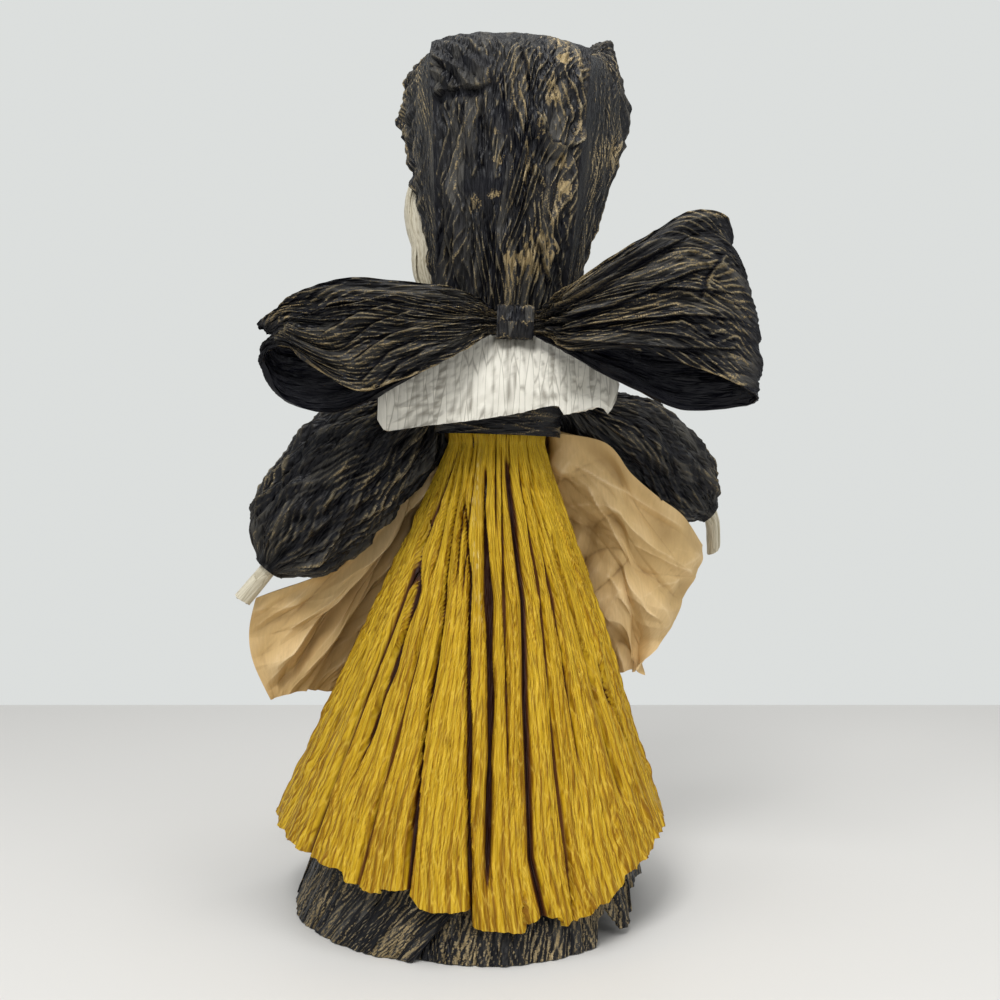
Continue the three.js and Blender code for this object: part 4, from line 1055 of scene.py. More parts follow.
def collar():
    """A ring of directions from the neck hole to a rectangle's edge, laid out flat as x and a length
    from the shoulder line; the length bends over the tube and then hangs."""
    u, v = grid(*COLLAR_GRID)
    c, s = np.cos(2 * np.pi * u), np.sin(2 * np.pi * u)
    edge = 1 / np.maximum(np.abs(c), np.abs(s))
    x = mix(COLLAR_HOLE * c, COLLAR_HALF_WIDTH * c * edge, v)
    side_drop = COLLAR_SIDE_DROP * (x / COLLAR_HALF_WIDTH) ** 2
    quarter = COLLAR_BEND * np.pi / 2
    to_hem = quarter + COLLAR_DROP + COLLAR_SKEW * x - side_drop
    length = mix(COLLAR_BEND * np.arcsin(COLLAR_HOLE * s / COLLAR_BEND), to_hem * s * edge, v)
    teeth = follow(COLLAR_TEETH, x) + 0.5 * noise(x / 1.7, s * 0, 113)
    length = length + np.sign(s) * np.where(s > 0, teeth, 0.4 * teeth) * v**6 * (np.abs(s) * edge) ** 8
    turn = np.clip(length / COLLAR_BEND, -np.pi / 2, np.pi / 2)
    straight = np.maximum(0, np.abs(length) - quarter)
    y = COLLAR_BEND * np.sin(turn)
    z = COLLAR_TOP - COLLAR_BEND * (1 - np.cos(turn)) - straight - side_drop
    dent = 4.0 * np.exp(-(((x + 31) / 4.5) ** 2) - ((z - 214) / 7.0) ** 2) * (y > 20)
    base = leaning(x, y - dent, z)
    height, crest = crinkle(x, length, 117)
    calm = ease(0.0, 0.12, v)
    thing = paper("collar_sheet", base, RIBBON, 0.9 * height * calm, x, length, ring=True, crest=crest)
    dress(thing, WHITE, "body", "collar")


collar()

# %% [markdown]
# ## Sleeves
# A short length of black ribbon is gathered at the shoulder and tied at the wrist, and puffs out
# between. The puff is a stretched ring whose size along the arm is a curve; crossing creases make
# the crumpled facets.

# %% Arm lines
SHOULDER = np.array([34.0, -3.0, 213.0])
# Side, reach to the wrist, the sleeve's fullness and the hand's droop.
ARMS = {
    "left": (1, np.array([61.0, 2.0, -78.0]), 26.5, 0.0),
    "right": (-1, np.array([-62.0, -35.0, -48.0]), 21.0, 8.0),
}
SLEEVE_SHARES = [0.26, 0.62, 0.92, 1, 0.99, 0.93, 0.78, 0.24]
# The sleeve's opening, its depth as a share of its height, and how far its inner side is filled out.
WRIST_RADIUS, SLEEVE_DEPTH, SLEEVE_INNER = 6.1, 0.84, 8.0
# How far each sleeve's top is tucked in towards the bodice.
SLEEVE_TUCK = {"left": 5.0, "right": 6.0}
SLEEVE_GRID = (264, 130)


def arm_frame(arm):
    """The shoulder, the arm's direction, its front-to-back and upward directions and its length."""
    side, reach, _, _ = ARMS[arm]
    pivot = SHOULDER * [side, 1, 1]
    length = np.linalg.norm(reach)
    along = reach / length
    deep = np.array([0.0, 1.0, 0.0]) - along * along[1]
    deep = deep / np.linalg.norm(deep)
    return pivot, along, deep, np.cross(along, deep) * side, length


def sleeve_radius(arm, s):
    """The puff's size at a share of the way down the arm."""
    shares = spline([(x, 0, 0) for x in SLEEVE_SHARES], s)[..., 0]
    return np.maximum(WRIST_RADIUS + 0.7, ARMS[arm][2] * shares)


def figure(points):
    """An array of spine millimetres to frame metres."""
    return leaning(points[..., 0], points[..., 1], points[..., 2])


def about(centre, up, deep, tall, wide, turn):
    """Points round a line: tall along up and wide along deep, at each turn."""
    return centre + up * (tall * np.cos(turn))[..., None] + deep * (wide * np.sin(turn))[..., None]


def sleeve(arm, seed):
    """Rings square to the arm, deeper folds towards the gathered ends, and large crossing creases."""
    pivot, along, deep, up, length = arm_frame(arm)
    u, s = grid(*SLEEVE_GRID)
    angle = 2 * np.pi * u
    round_it = 2 * np.pi * ARMS[arm][2]
    across, down = u * round_it, s * length + 4.0 * noise(u * 6, s * 4, seed + 9, 6)
    radius = sleeve_radius(arm, s)
    ends = (1 - ease(0.0, 0.3, s)) + ease(0.8, 1.0, s)
    gathers = creases(across, down, 11.0, 150.0, seed, round_it) - 0.6
    crushed = crumple(across, down, seed + 1, round_it, 1.2)
    radius = radius + np.minimum(gathers, 0.5) * (0.5 + 0.9 * ends) * ease(0, 0.05, s)
    radius = np.maximum(radius, WRIST_RADIUS)
    depth = np.maximum(WRIST_RADIUS, radius * SLEEVE_DEPTH)
    turned = -angle * np.sign(ARMS[arm][0])
    inner = np.maximum(0.0, -np.cos(turned)) ** 2 * np.exp(-(((s - 0.13) / 0.13) ** 2))
    radius = radius + SLEEVE_INNER * inner
    centre = pivot + along * (length * mix(0.04, 1.0, s))[..., None]
    centre[..., 0] -= ARMS[arm][0] * SLEEVE_TUCK[arm] * np.exp(-((s / 0.2) ** 2))
    points = about(centre, up, deep, radius, depth, turned)
    height, crest = crinkle(across, down, seed + 3, round_it, 1.6, ridges=True)
    calm = ease(0.0, 0.12, s) * (1 - ease(0.9, 1.0, s))
    height = (0.7 * height + 0.6 * crushed - 0.3) * calm
    gold = 0.16 + 0.12 * crest + 0.03 * crushed + 0.7 * noise(across / 24, down / 30, seed + 7)
    name = "%s_sleeve_puff" % arm
    thing = paper(name, figure(points), RIBBON, height, across, down, ring=True, gold=gold)
    dress(thing, BLACK_GOLD, "%s_arm" % arm, "%s_sleeve" % arm)


sleeve("left", 131)
sleeve("right", 151)

# %% [markdown]
# ## Arms and hands
# Each arm is a strip of cream paper rolled round a wire, and the hand is simply the roll's open end.
# The roll is a spiral carried along the arm, so the end shows its turns and a dark hollow.

# %% Paper rolls
ROLL_RADIUS, HAND_LENGTH, HAND_BEND = 4.5, 17.0, 5.0
ROLL_TURNS, ROLL_CORE = 2.3, 1.9
ROLL_GRID = (90, 80)
# Thickness of the cream paper, and of the narrow strips of hair.
CREAM_SHEET, STRIP_SHEET = 0.3, 0.25


def hand_ends(arm):
    """The wrist, and the tip of the hand, which droops."""
    pivot, along, _, _, length = arm_frame(arm)
    droop = ARMS[arm][3]
    wrist = pivot + along * length
    return wrist, wrist + along * HAND_LENGTH + np.array([droop, 0, -droop])


def arm_line(arm, s):
    """The roll's middle line: straight to the wrist, then a bend that droops into the hand."""
    pivot, along, _, _, length = arm_frame(arm)
    wrist, tip = hand_ends(arm)
    bend = wrist + along * HAND_BEND
    whole = length + HAND_LENGTH
    straight = np.clip(s * whole / length, 0, 1)[..., None]
    b = np.clip((s * whole - length) / HAND_LENGTH, 0, 1)[..., None]
    hand = wrist * (1 - b) ** 2 + bend * 2 * b * (1 - b) + tip * b**2
    return np.where(b > 0, hand, mix(pivot, wrist, straight))


def arm_roll(arm, seed):
    """A spiral that winds inwards, carried along the line; the last part flares and is creased."""
    _, along, deep, up, length = arm_frame(arm)
    u, s = grid(*ROLL_GRID)
    line = arm_line(arm, s)
    turn = 2 * np.pi * ROLL_TURNS * u + 0.8
    radius = mix(ROLL_RADIUS - 0.35, ROLL_CORE, u)
    hand = ease(0.86, 1.0, s)
    across, down = u * 45.0, s * (length + HAND_LENGTH)
    radius = radius * (1 - 0.1 * ease(0.8, 0.87, s) + 0.06 * hand)
    points = about(line, up, deep, radius, radius, turn)
    slope = 2.0 * noise(across / 7, down * 0, seed) * ease(0.97, 1.0, s)
    points = points + along * slope[..., None]
    height, crest = crinkle(across, down, seed + 1, size=0.6)
    name = "%s_hand_roll" % arm
    thing = paper(name, figure(points), CREAM_SHEET, 0.35 * height, across, down, crest=crest)
    dress(thing, CREAM, "%s_arm" % arm, "%s_arm_roll" % arm)


arm_roll("left", 171)
arm_roll("right", 175)

# %% [markdown]
# ## Head
# A ball of foam is wrapped in a square of cream paper that is gathered at the neck. The face is left
# plain. The wrap is an egg with a neck, and its creases run down and deepen to the neck.

# %% Face wrap
HEAD_WIDE, HEAD_TALL, NECK_TUBE = 32.0, 38.0, 7.6
# The wrap's girth and length, and the share of the length at which the neck begins.
WRAP_ROUND, WRAP_DOWN, NECK_START = 200.0, 130.0, 0.86
WRAP_GRID = (150, 110)


def face_wrap():
    """An egg's outline turned round the spine, then a neck tube; gathers grow towards the neck."""
    u, v = grid(*WRAP_GRID)
    neck_turn = np.pi - math.asin(NECK_TUBE / HEAD_WIDE)
    turn = mix(0.02, neck_turn, np.clip(v / NECK_START, 0, 1))
    neck = ease(0.84, 0.9, v)
    radius = mix(HEAD_WIDE * np.sin(turn), NECK_TUBE, neck)
    egg = HEAD_MIDDLE + HEAD_TALL * np.cos(turn)
    neck_top = HEAD_MIDDLE + HEAD_TALL * math.cos(neck_turn)
    z = np.where(v > NECK_START, mix(neck_top, NECK + 0.5, (v - NECK_START) / 0.14), egg)
    across, along = u * WRAP_ROUND, v * WRAP_DOWN
    gathers = creases(across, along, 9.0, 200.0, 181, WRAP_ROUND) * ease(0.5, NECK_START, v)
    height, crest = crinkle(across, along, 185, WRAP_ROUND, 1.1)
    radius = radius + 0.35 * gathers - 0.3 * ease(0.5, NECK_START, v)
    angle = 2 * np.pi * u
    base = leaning(radius * np.cos(angle), radius * np.sin(angle), z)
    calm = mix(0.18, 0.5, ease(0.4, 0.85, v)) * ease(0.0, 0.06, v)
    height = (height * calm)[::-1]
    crest = 0.6 * crest[::-1]
    thing = paper("face_wrap", base[::-1], CREAM_SHEET, height, across, along[::-1], ring=True, crest=crest)
    dress(thing, CREAM, "head", "face_cover")


face_wrap()

# %% [markdown]
# ## Hair
# Narrow strips of cream paper hang in a bunch at each cheek, and shorter ones make a fringe. Each
# strip is a thin ribbon that keeps to the bunch's outline; their ends are cut at different lengths.

# %% Strips of hair
HAIR_ROWS = [
    (21, 4.5, 6.5), (8, 7, 7.5), (-5, 8.3, 8.5), (-19, 8.5, 9), (-32, 7.5, 8.5), (-42, 4.5, 6),
]
HAIR_TURN = math.radians(28)
COVER_RADIUS, COVER_TALL = 32.4, 38.4
STRIP_WIDE, STRIP_LONG = 8.0, 65.0
BUNCH_STRIPS = 14
STRIP_GRID = (16, 70)


def join(name, parts):
    """One object from several, so that a bunch of strips is a single piece."""
    with bpy.context.temp_override(active_object=parts[0], selected_editable_objects=parts):
        bpy.ops.object.join()
    parts[0].name = parts[0].data.name = name
    return parts[0]


def hair_strip(side, fullness, around, tip, lean_out, seed):
    """A strip down the bunch: it keeps to one direction round the bunch's outline, turning a little,
    and stops at the share tip of the way down."""
    u, v = grid(*STRIP_GRID)
    t = v * tip
    rows = spline(HAIR_ROWS, t)
    drop, thick, wide = rows[..., 0], rows[..., 1] * fullness, rows[..., 2] * fullness
    share = np.minimum(0.95, np.abs(drop) / COVER_TALL)
    skull = COVER_RADIUS * np.maximum(0.85, np.sqrt(1 - share**2))
    angle = around + 0.5 * np.sin(2.2 * v + seed) + (u - 0.5) * mix(0.95, 0.55, v)
    inset = mix(0.82, 0.97, lean_out) + 0.05 * np.sin(6.0 * v + seed)
    out = skull + 0.5 + thick + thick * inset * np.cos(angle)
    over = wide * inset * np.sin(angle)
    x = side * (out * math.cos(HAIR_TURN) + over * math.sin(HAIR_TURN))
    y = -out * math.sin(HAIR_TURN) + over * math.cos(HAIR_TURN)
    z = HEAD_MIDDLE + drop
    across, along = u * STRIP_WIDE, v * STRIP_LONG
    height, crest = crinkle(across, along, seed, size=0.6)
    return paper("strip", leaning(x, y, z), STRIP_SHEET, 0.3 * height, across, along, crest=crest)


def hair_bunch(name, side, fullness, seed):
    """Strips in two rings, a full outer one and an inner one."""
    pick = np.random.default_rng(seed)
    parts = []
    for i in range(BUNCH_STRIPS):
        around = 2 * np.pi * i / BUNCH_STRIPS + pick.uniform(-0.15, 0.15)
        tip = pick.uniform(0.88, 1.0)
        parts.append(hair_strip(side, fullness, around, tip, i % 2, seed + 7 * i))
    thing = join("%s_strips" % name, parts)
    dress(thing, CREAM, "head", name)


hair_bunch("hair_left", 1, 0.96, 201)
hair_bunch("hair_right", -1, 0.65, 231)


# %% Fringe
FRINGE_STRIPS = 22
FRINGE_GRID = (10, 30)
FRINGE_WIDE, FRINGE_LONG = 5.0, 17.0


def fringe():
    """Short strips side by side across the forehead, each from high under the bonnet to the brow."""
    pick = np.random.default_rng(251)
    parts = []
    for i in range(FRINGE_STRIPS):
        u, v = grid(*FRINGE_GRID)
        turn = math.radians(-52 + 104 * (i + 0.5) / FRINGE_STRIPS) + (u - 0.5) * 0.105
        low = math.radians(pick.uniform(30, 34))
        rise = mix(math.radians(55), low, v)
        lift = COVER_RADIUS + 1.0 + (i % 2) * 0.5 + 0.4 * np.sin(np.pi * v)
        tall = COVER_TALL + 1.0 + (i % 2) * 0.5
        around = lift * np.cos(rise)
        base = leaning(around * np.sin(turn), -around * np.cos(turn), HEAD_MIDDLE + tall * np.sin(rise))
        across, along = u * FRINGE_WIDE, v * FRINGE_LONG
        height, crest = crinkle(across + 9 * i, along, 261, size=0.5)
        parts.append(paper("strip", base[::-1], STRIP_SHEET, 0.25 * height, across, along, crest=crest))
    thing = join("fringe_strips", parts)
    dress(thing, CREAM, "head", "hair_top")


fringe()

# %% [markdown]
# ## Bonnet
# One ribbon runs from the nape up the back of the head and forward over the top; a second is tucked
# under its edges and arches over the face as the brim. At the top of the back the ribbon is folded
# over, which leaves a step with radiating pleats on the doll's left.

# %% Bonnet crown
BONNET_NAPE, BONNET_TOP, HEAD_BACK = 247.5, 361.0, 34.1
CROWN_LINE = [
    (0.72 * HEAD_BACK, BONNET_NAPE), (0.93 * HEAD_BACK, 271.25), (HEAD_BACK, HEAD_MIDDLE),
    (HEAD_BACK, 321.4), (0.86 * HEAD_BACK, 344.5), (0.5 * HEAD_BACK, 357.0), (0.2 * HEAD_BACK, BONNET_TOP),
    (-0.1 * HEAD_BACK, 363.0),
]


def crown_surface(u, v):
    """Across: an arc that bends back at the sides, flatter over the top. Along: the crown's line."""
    narrowed = mix(1.0, 0.64, ease(0.78, 1.0, v))
    width = mix(26.5, 32.5, np.clip(v / 0.6, 0, 1)) * narrowed
    x = mix(width, -width, u)
    line = spline(CROWN_LINE, v)
    step = spline(CROWN_LINE, np.minimum(v + 1e-3, 1.0)) - spline(CROWN_LINE, np.maximum(v - 1e-3, 0.0))
    ahead = step / np.linalg.norm(step, axis=-1, keepdims=True)
    bend = 1.25 * width
    roundness = mix(0.9, 0.35, ease(0.45, 0.75, v))
    pull = roundness * (bend - np.sqrt(bend**2 - x**2))
    return x, line[..., 0] - ahead[..., 1] * pull, line[..., 1] + ahead[..., 0] * pull


def blob(x, z, at_x, at_z, wide, tall):
    """A soft spot: one in its middle, falling off with the distance over its half sizes."""
    return np.exp(-(((x - at_x) / wide) ** 2) - ((z - at_z) / tall) ** 2)


def line_off(x, z, a, b):
    """Distance sideways from the line through a and b, and the share of the way along it."""
    dx, dz = b[0] - a[0], b[1] - a[1]
    long = math.hypot(dx, dz)
    along = ((x - a[0]) * dx + (z - a[1]) * dz) / long**2
    return ((x - a[0]) * dz - (z - a[1]) * dx) / long, along


def fold_lines(x, z, folds):
    """Folds along lines of points. On the right of a line that runs down in the picture, the paper stands
    up by the fold's depth and slopes back over its width; the fold fades out towards both ends. Gives
    the height, and the shade at the foot."""
    height, shade = np.zeros_like(x), np.zeros_like(x)
    for points, depth, wide in folds:
        whole = sum(math.dist(a, b) for a, b in zip(points, points[1:]))
        nearest, side, done, past = np.full_like(x, np.inf), np.zeros_like(x), np.zeros_like(x), 0.0
        for a, b in zip(points, points[1:]):
            off, share = line_off(x, z, a, b)
            share = np.clip(share, 0, 1)
            away = np.hypot(x - mix(a[0], b[0], share), z - mix(a[1], b[1], share))
            closer = away < nearest
            nearest = np.where(closer, away, nearest)
            side = np.where(closer, np.sign(off) * away, side)
            done = np.where(closer, (past + share * math.dist(a, b)) / whole, done)
            past = past + math.dist(a, b)
        fade = ease(0.0, 0.25, done) * (1 - ease(0.75, 1.0, done))
        height = height + depth * fade * ease(-0.25, 0.25, side) * np.clip(1 - side / wide, 0, 1)
        shade = np.maximum(shade, fade * np.exp(-(((side + 0.6) / 0.8) ** 2)))
    return height, shade


# Each fold: its points in x and z, its depth and its width.
CROWN_FOLDS = [
    ([(18, 330), (17, 320), (17, 298)], 1.8, 5), ([(11, 332), (8, 311)], 1.5, 4),
    ([(-10, 324), (-4, 299), (1, 279)], 2.6, 7), ([(-26, 309), (-17, 310), (-10, 324)], 2.2, 6),
    ([(-26, 309), (-33, 318)], 1.6, 4), ([(-11, 302), (-8, 290), (-6, 279)], 1.6, 4),
    ([(-17, 291), (-11, 302)], 1.6, 4), ([(-30, 280), (-28, 291), (-26, 309)], 2.0, 5),
    ([(4, 277), (3, 257)], 1.6, 4), ([(20, 280), (19, 253)], 1.8, 4), ([(-13, 274), (-19, 254)], 1.7, 4),
    ([(-24, 257), (-21, 275)], 1.5, 4), ([(-4, 352), (-9, 328)], 1.4, 5), ([(-20, 330), (-14, 350)], 1.4, 5),
    ([(25, 300), (23, 262)], 1.6, 4), ([(3, 340), (1, 316)], 1.2, 4), ([(11, 306), (10, 298)], 1.4, 4),
    ([(-29, 300), (-31, 320), (-28, 336), (-27, 348)], 1.8, 5),
]
HEAD_FULL = 33.6
CROWN_ACROSS, CROWN_ALONG = 66.0, 150.0
CROWN_GRID = (230, 250)
# Places of smooth paper and of paint: middle, half sizes and, for paint, strength.
CROWN_SMOOTH = [(2, 318, 5, 7), (10, 292, 11, 3.5), (14, 340, 8, 4)]
CROWN_PAINT = [
    (-18, 331, 4, 7, 0.6), (-22, 346, 3.5, 3, 0.6), (-22, 303, 3, 4, 0.55), (-23, 293, 3, 4, 0.5),
    (12.5, 284.5, 3.4, 3.8, 0.7), (5, 289, 3, 2.4, 0.6), (5, 313, 2, 2, 0.5), (4, 302, 4, 3, 0.42),
    (-16, 268, 8, 13, 0.42), (-8, 300, 4, 12, 0.4), (-13, 318, 3, 8, 0.45), (-4, 262, 8, 8, 0.3),
]


def crown():
    """The crown with its long folds, the folded top with radiating pleats, smooth places and creases.
    Its lower edge hangs a little lower in the middle, behind the bow."""
    u, v = grid(*CROWN_GRID)
    x, y, z = crown_surface(u, v)
    across, along = u * CROWN_ACROSS + 1.5 * noise(u * 5, v * 9, 305), v * CROWN_ALONG
    z = z - 5.0 * (1 - ease(10.0, 16.0, np.abs(x + 6))) * (1 - ease(0.0, 0.12, v))
    height, crest = crinkle(across, along, 301, size=1.5, ridges=True)
    smooth = sum(blob(x, z, *spot) for spot in CROWN_SMOOTH) + 0.35 * noise(across / 3.5, along / 5.0, 313)
    smooth = ease(0.4, 0.55, smooth)
    rough = 0.4 * crumple(across, along, 311)
    folded, foot = fold_lines(x, z, CROWN_FOLDS)
    flap_line = 331.0 + 0.1 * (15 - x) + 1.5 * noise(x / 9.0, x * 0, 317)
    flap = ease(-0.6, 0.4, z - flap_line) * ease(4.0, 14.0, x) * (1 - 0.7 * ease(346, 358, z))
    # under: a groove below the folded top's edge, and its painted shadow.
    under = np.exp(-(((z - flap_line + 2.2) / 1.6) ** 2)) * ease(4.0, 14.0, x)
    pleats = creases(across + 0.7 * (along - 118), along, 3.4, 60.0, 321) * flap
    calm = mix(1.0, 0.22, ease(0.58, 0.72, v))
    height = (0.7 * height + rough) * (1 - 0.7 * smooth) * calm
    height = height + 1.7 * folded * (1 - ease(0.66, 0.76, v))
    height = height + (2.6 * flap + 1.1 * pleats) * (1 - ease(0.72, 0.8, v))
    height = (height - 0.8 * under - 1.0) * ease(0.0, 0.06, np.minimum(u, 1 - u) + 0.02)
    head = HEAD_FULL * np.sqrt(np.clip(1 - ((z - HEAD_MIDDLE) / (HEAD_FULL + 6)) ** 2, 0, 1))
    height = np.maximum(height, head - np.hypot(x, y))
    paint = sum(s * blob(x, z, *spot) for *spot, s in CROWN_PAINT)
    patchy = noise(across / 2.4, along / 3.4, 335) + 0.5 * noise(across / 1.2, along / 1.7, 337)
    paint = 0.62 * ease(0.26, 0.36, paint + 0.34 * patchy)
    gold = 0.44 + 0.22 * crest + 0.04 * rough + 0.006 * np.clip(-6 - x, -20, 15)
    gold = gold + paint + 0.4 * noise(across / 14, along / 22, 331)
    gold = gold - 0.1 * flap - 0.2 * smooth
    base = leaning(x, y, z)
    # Painted shade at the feet of folds, under the folded top and along the side edges over the brim; smooth
    # places darken to bare dye.
    sides = np.exp(-((np.minimum(u, 1 - u) * CROWN_ACROSS / 1.6) ** 2)) * (1 - ease(0.6, 0.75, v))
    dark = np.clip(0.9 * foot + 0.9 * under + 0.7 * smooth + 0.9 * sides, 0, 1)
    thing = paper("bonnet_crown_ribbon", base, RIBBON, height, across, along, gold=gold, inside=dark)
    dress(thing, BLACK_GOLD, "head", "bonnet_crown")


crown()

# %% Bonnet brim
BRIM_SIDE = 35.6
BRIM_EDGE = [
    (0.79, 0.084, 0.05), (0.96, 0.168, 0.28), (1.13, 0.337, 0.49), (1.3, 0.618, 0.65), (1.33, 0.758, 0.79),
    (1.17, 0.843, 0.935), (0, 0.899, 0.985), (-0.8, 0.8, 0.975), (-1.02, 0.72, 1.05),
    (-1.24, 0.68, 1.06), (-1.42, 0.72, 0.89), (-1.48, 0.674, 0.72), (-1.33, 0.393, 0.565),
    (-1.07, 0.197, 0.33), (-0.84, 0.084, 0.07),
]
BRIM_ROOT = [(0.05, v) for v in (0.03, 0.16, 0.3, 0.44, 0.58, 0.74, 0.88)] + [
    (0.14, 0.97), (0.5, 0.98), (0.86, 0.97), (0.96, 0.88), (0.96, 0.74),
] + [(0.95, v) for v in (0.58, 0.44, 0.3, 0.16, 0.03)]
BRIM_INSIDE = 2.5
BRIM_ACROSS, BRIM_ALONG = 45.0, 330.0
BRIM_GRID = (380, 90)
# Half sizes of the room that the brim leaves for the head.
ROOM_WIDE, ROOM_TALL = 33.7, 39.7
NOTCH_PLACE, NOTCH_DEPTH = 0.55, 6.0


def inside_crown(u, v):
    """A point under the crown, square to it, clear of the head."""
    def at(a, b):
        return np.stack(crown_surface(np.array(a), np.array(b)), axis=-1)

    n = np.cross(at(u + 1e-3, v) - at(u - 1e-3, v), at(u, v + 1e-3) - at(u, v - 1e-3))
    p = at(u, v) - n / np.linalg.norm(n) * BRIM_INSIDE
    rise = min(1.0, abs(p[2] - HEAD_MIDDLE) / ROOM_TALL)
    least = ROOM_WIDE * math.sqrt(1 - rise**2)
    return p * [max(1.0, least / math.hypot(p[0], p[1]))] * [1, 1, 0] + p * [0, 0, 1]


def brim():
    """From the root under the crown's edges to the free edge, bulging out between. Beside the crown's
    right corner it dips, which leaves a notch; at the left its edge is drawn up in small scallops."""
    u, v = grid(*BRIM_GRID)
    root = spline([inside_crown(a, b) for a, b in BRIM_ROOT], u)
    edge = [(a * BRIM_SIDE, -b * BRIM_SIDE, mix(BONNET_NAPE, BONNET_TOP, c)) for a, b, c in BRIM_EDGE]
    front = spline(edge, u)
    share = v[..., None] ** np.array([1.0, 1.0, 2.2])
    points = mix(root, front, share)
    points[..., 0] += 3.2 * np.sin(np.pi * v) * np.cos(np.pi * u)
    points[..., 2] -= NOTCH_DEPTH * np.exp(-(((u - NOTCH_PLACE) / 0.06) ** 2)) * np.sin(np.pi * v)
    across, along = v * BRIM_ACROSS, u * BRIM_ALONG
    height, crest = crinkle(across, along, 341, ridges=True)
    waves = 0.8 * crumple(across, along, 351) + 1.2 * noise(along / 16.0, across / 30.0, 353)
    waves = waves * ease(0.25, 0.9, v)
    scallops = creases(along, across, 5.5, 30.0, 357) * ease(0.42, 0.3, u) * ease(0.3, 0.8, v)
    height = (0.5 * height + 0.7 * waves + 1.0 * scallops - 0.2) * ease(0.12, 0.4, v)
    gold = 0.42 + 0.24 * crest + 0.1 * scallops + 0.5 * noise(across / 12, along / 26, 361)
    gold = gold + 0.5 * blob(points[..., 0], points[..., 2], -45, 315, 5, 6) * (points[..., 0] < 0)
    # Painted shade along the root, under the crown's edges.
    root_shade = 1 - ease(0.08, 0.26, v)
    thing = paper(
        "bonnet_brim_ribbon", figure(points), RIBBON, height, across, along, gold=gold, inside=root_shade
    )
    dress(thing, BLACK_GOLD, "head", "bonnet_brim")


brim()

# %% [markdown]
# ## Bow
# A wide black ribbon lies in two loops behind the neck, pinched by a narrow band. Each loop leaves the
# band, turns at its end and comes back behind itself. Its top and bottom edges are two curves, and the
# paper lies between them, so the loop fans out from the pinch as the real one does.

# %% Bow loops
BOW_X, BOW_Y, BOW_Z = -5.5, 32.72, 238.5
BOW_ACROSS, BOW_ALONG = 62.0, 215.0
BOW_GRID = (180, 340)
PINCH_NEAR, PINCH_FAR, PINCH_TALL = 0.9, 8.25, 5.2
# Points of each edge of a loop from the pinch: outwards, backwards and upwards.
LEFT_TOP = [
    (14, 9, 9), (32, 20, 12.3), (62, 24, 12.5), (81, 22, 6.8), (94, 17, -1), (98, 12.5, -6), (90, 9, -5),
    (64, 8, 4), (38, 6.5, 8), (14, 2, 7.5),
]
LEFT_BOTTOM = [
    (13, 9, -9), (27.5, 20, -18.7), (43, 25, -26), (60, 27, -30), (84, 26, -15), (96, 17, -20),
    (88, 11, -34.5), (66, 9.5, -37.5), (40, 7.5, -24), (14, 2, -8),
]
RIGHT_TOP = [
    (13, 9, 8.5), (21.5, 20, 14.2), (45, 25, 30.3), (64, 23, 41.8), (78, 17.5, 41.5), (82, 12.5, 33),
    (75, 9, 30), (55, 8, 24), (32, 6.5, 14), (13, 2, 7.5),
]
RIGHT_BOTTOM = [
    (12, 9, -7), (20.5, 22, -12.5), (46.5, 28, -12), (68.5, 28, -17.5), (84.5, 25, -22.5), (94, 18, -27.5),
    (88, 10.5, -30.5), (64.5, 9, -32.5), (41, 8, -22.7), (14, 3, -9),
]


def loop_edge(side, rows, up, t):
    """An edge of a loop: out from the pinch along its rows and back to the pinch."""
    tall = up * PINCH_TALL
    pinch = [(PINCH_NEAR, 1.2, tall), (PINCH_FAR, 2.2, tall)]
    back = [(PINCH_FAR, -1.2, tall), (PINCH_NEAR, -1.2, tall)]
    points = np.array([*pinch, *rows, *back], float) * [side, 1, 1] + [BOW_X, BOW_Y, BOW_Z]
    return spline(points, t)


# How far the end of each loop stands out, from its lower edge to its upper one.
LEFT_END = [(0, 0), (0.2, 1.0), (0.45, -1.0), (0.66, -4.5), (0.8, -3.5), (0.94, 1.0), (1, 1)]
RIGHT_END = [(0, 0), (0.25, 3.5), (0.5, 5.0), (0.75, 3.5), (0.9, -1.0), (1, 0)]


def loop_surface(side, end, top, bottom):
    """Straight lines between the two edges, bulged backwards on the near face and out at the end."""
    u, v = grid(*BOW_GRID)
    points = mix(loop_edge(side, bottom, -1, v), loop_edge(side, top, 1, v), u[..., None])
    points[..., 1] += 2.5 * np.sin(np.pi * u) * np.sin(2 * np.pi * v)
    points[..., 0] += side * follow(end, u) * np.sin(np.pi * v) ** 6
    return u, v, points


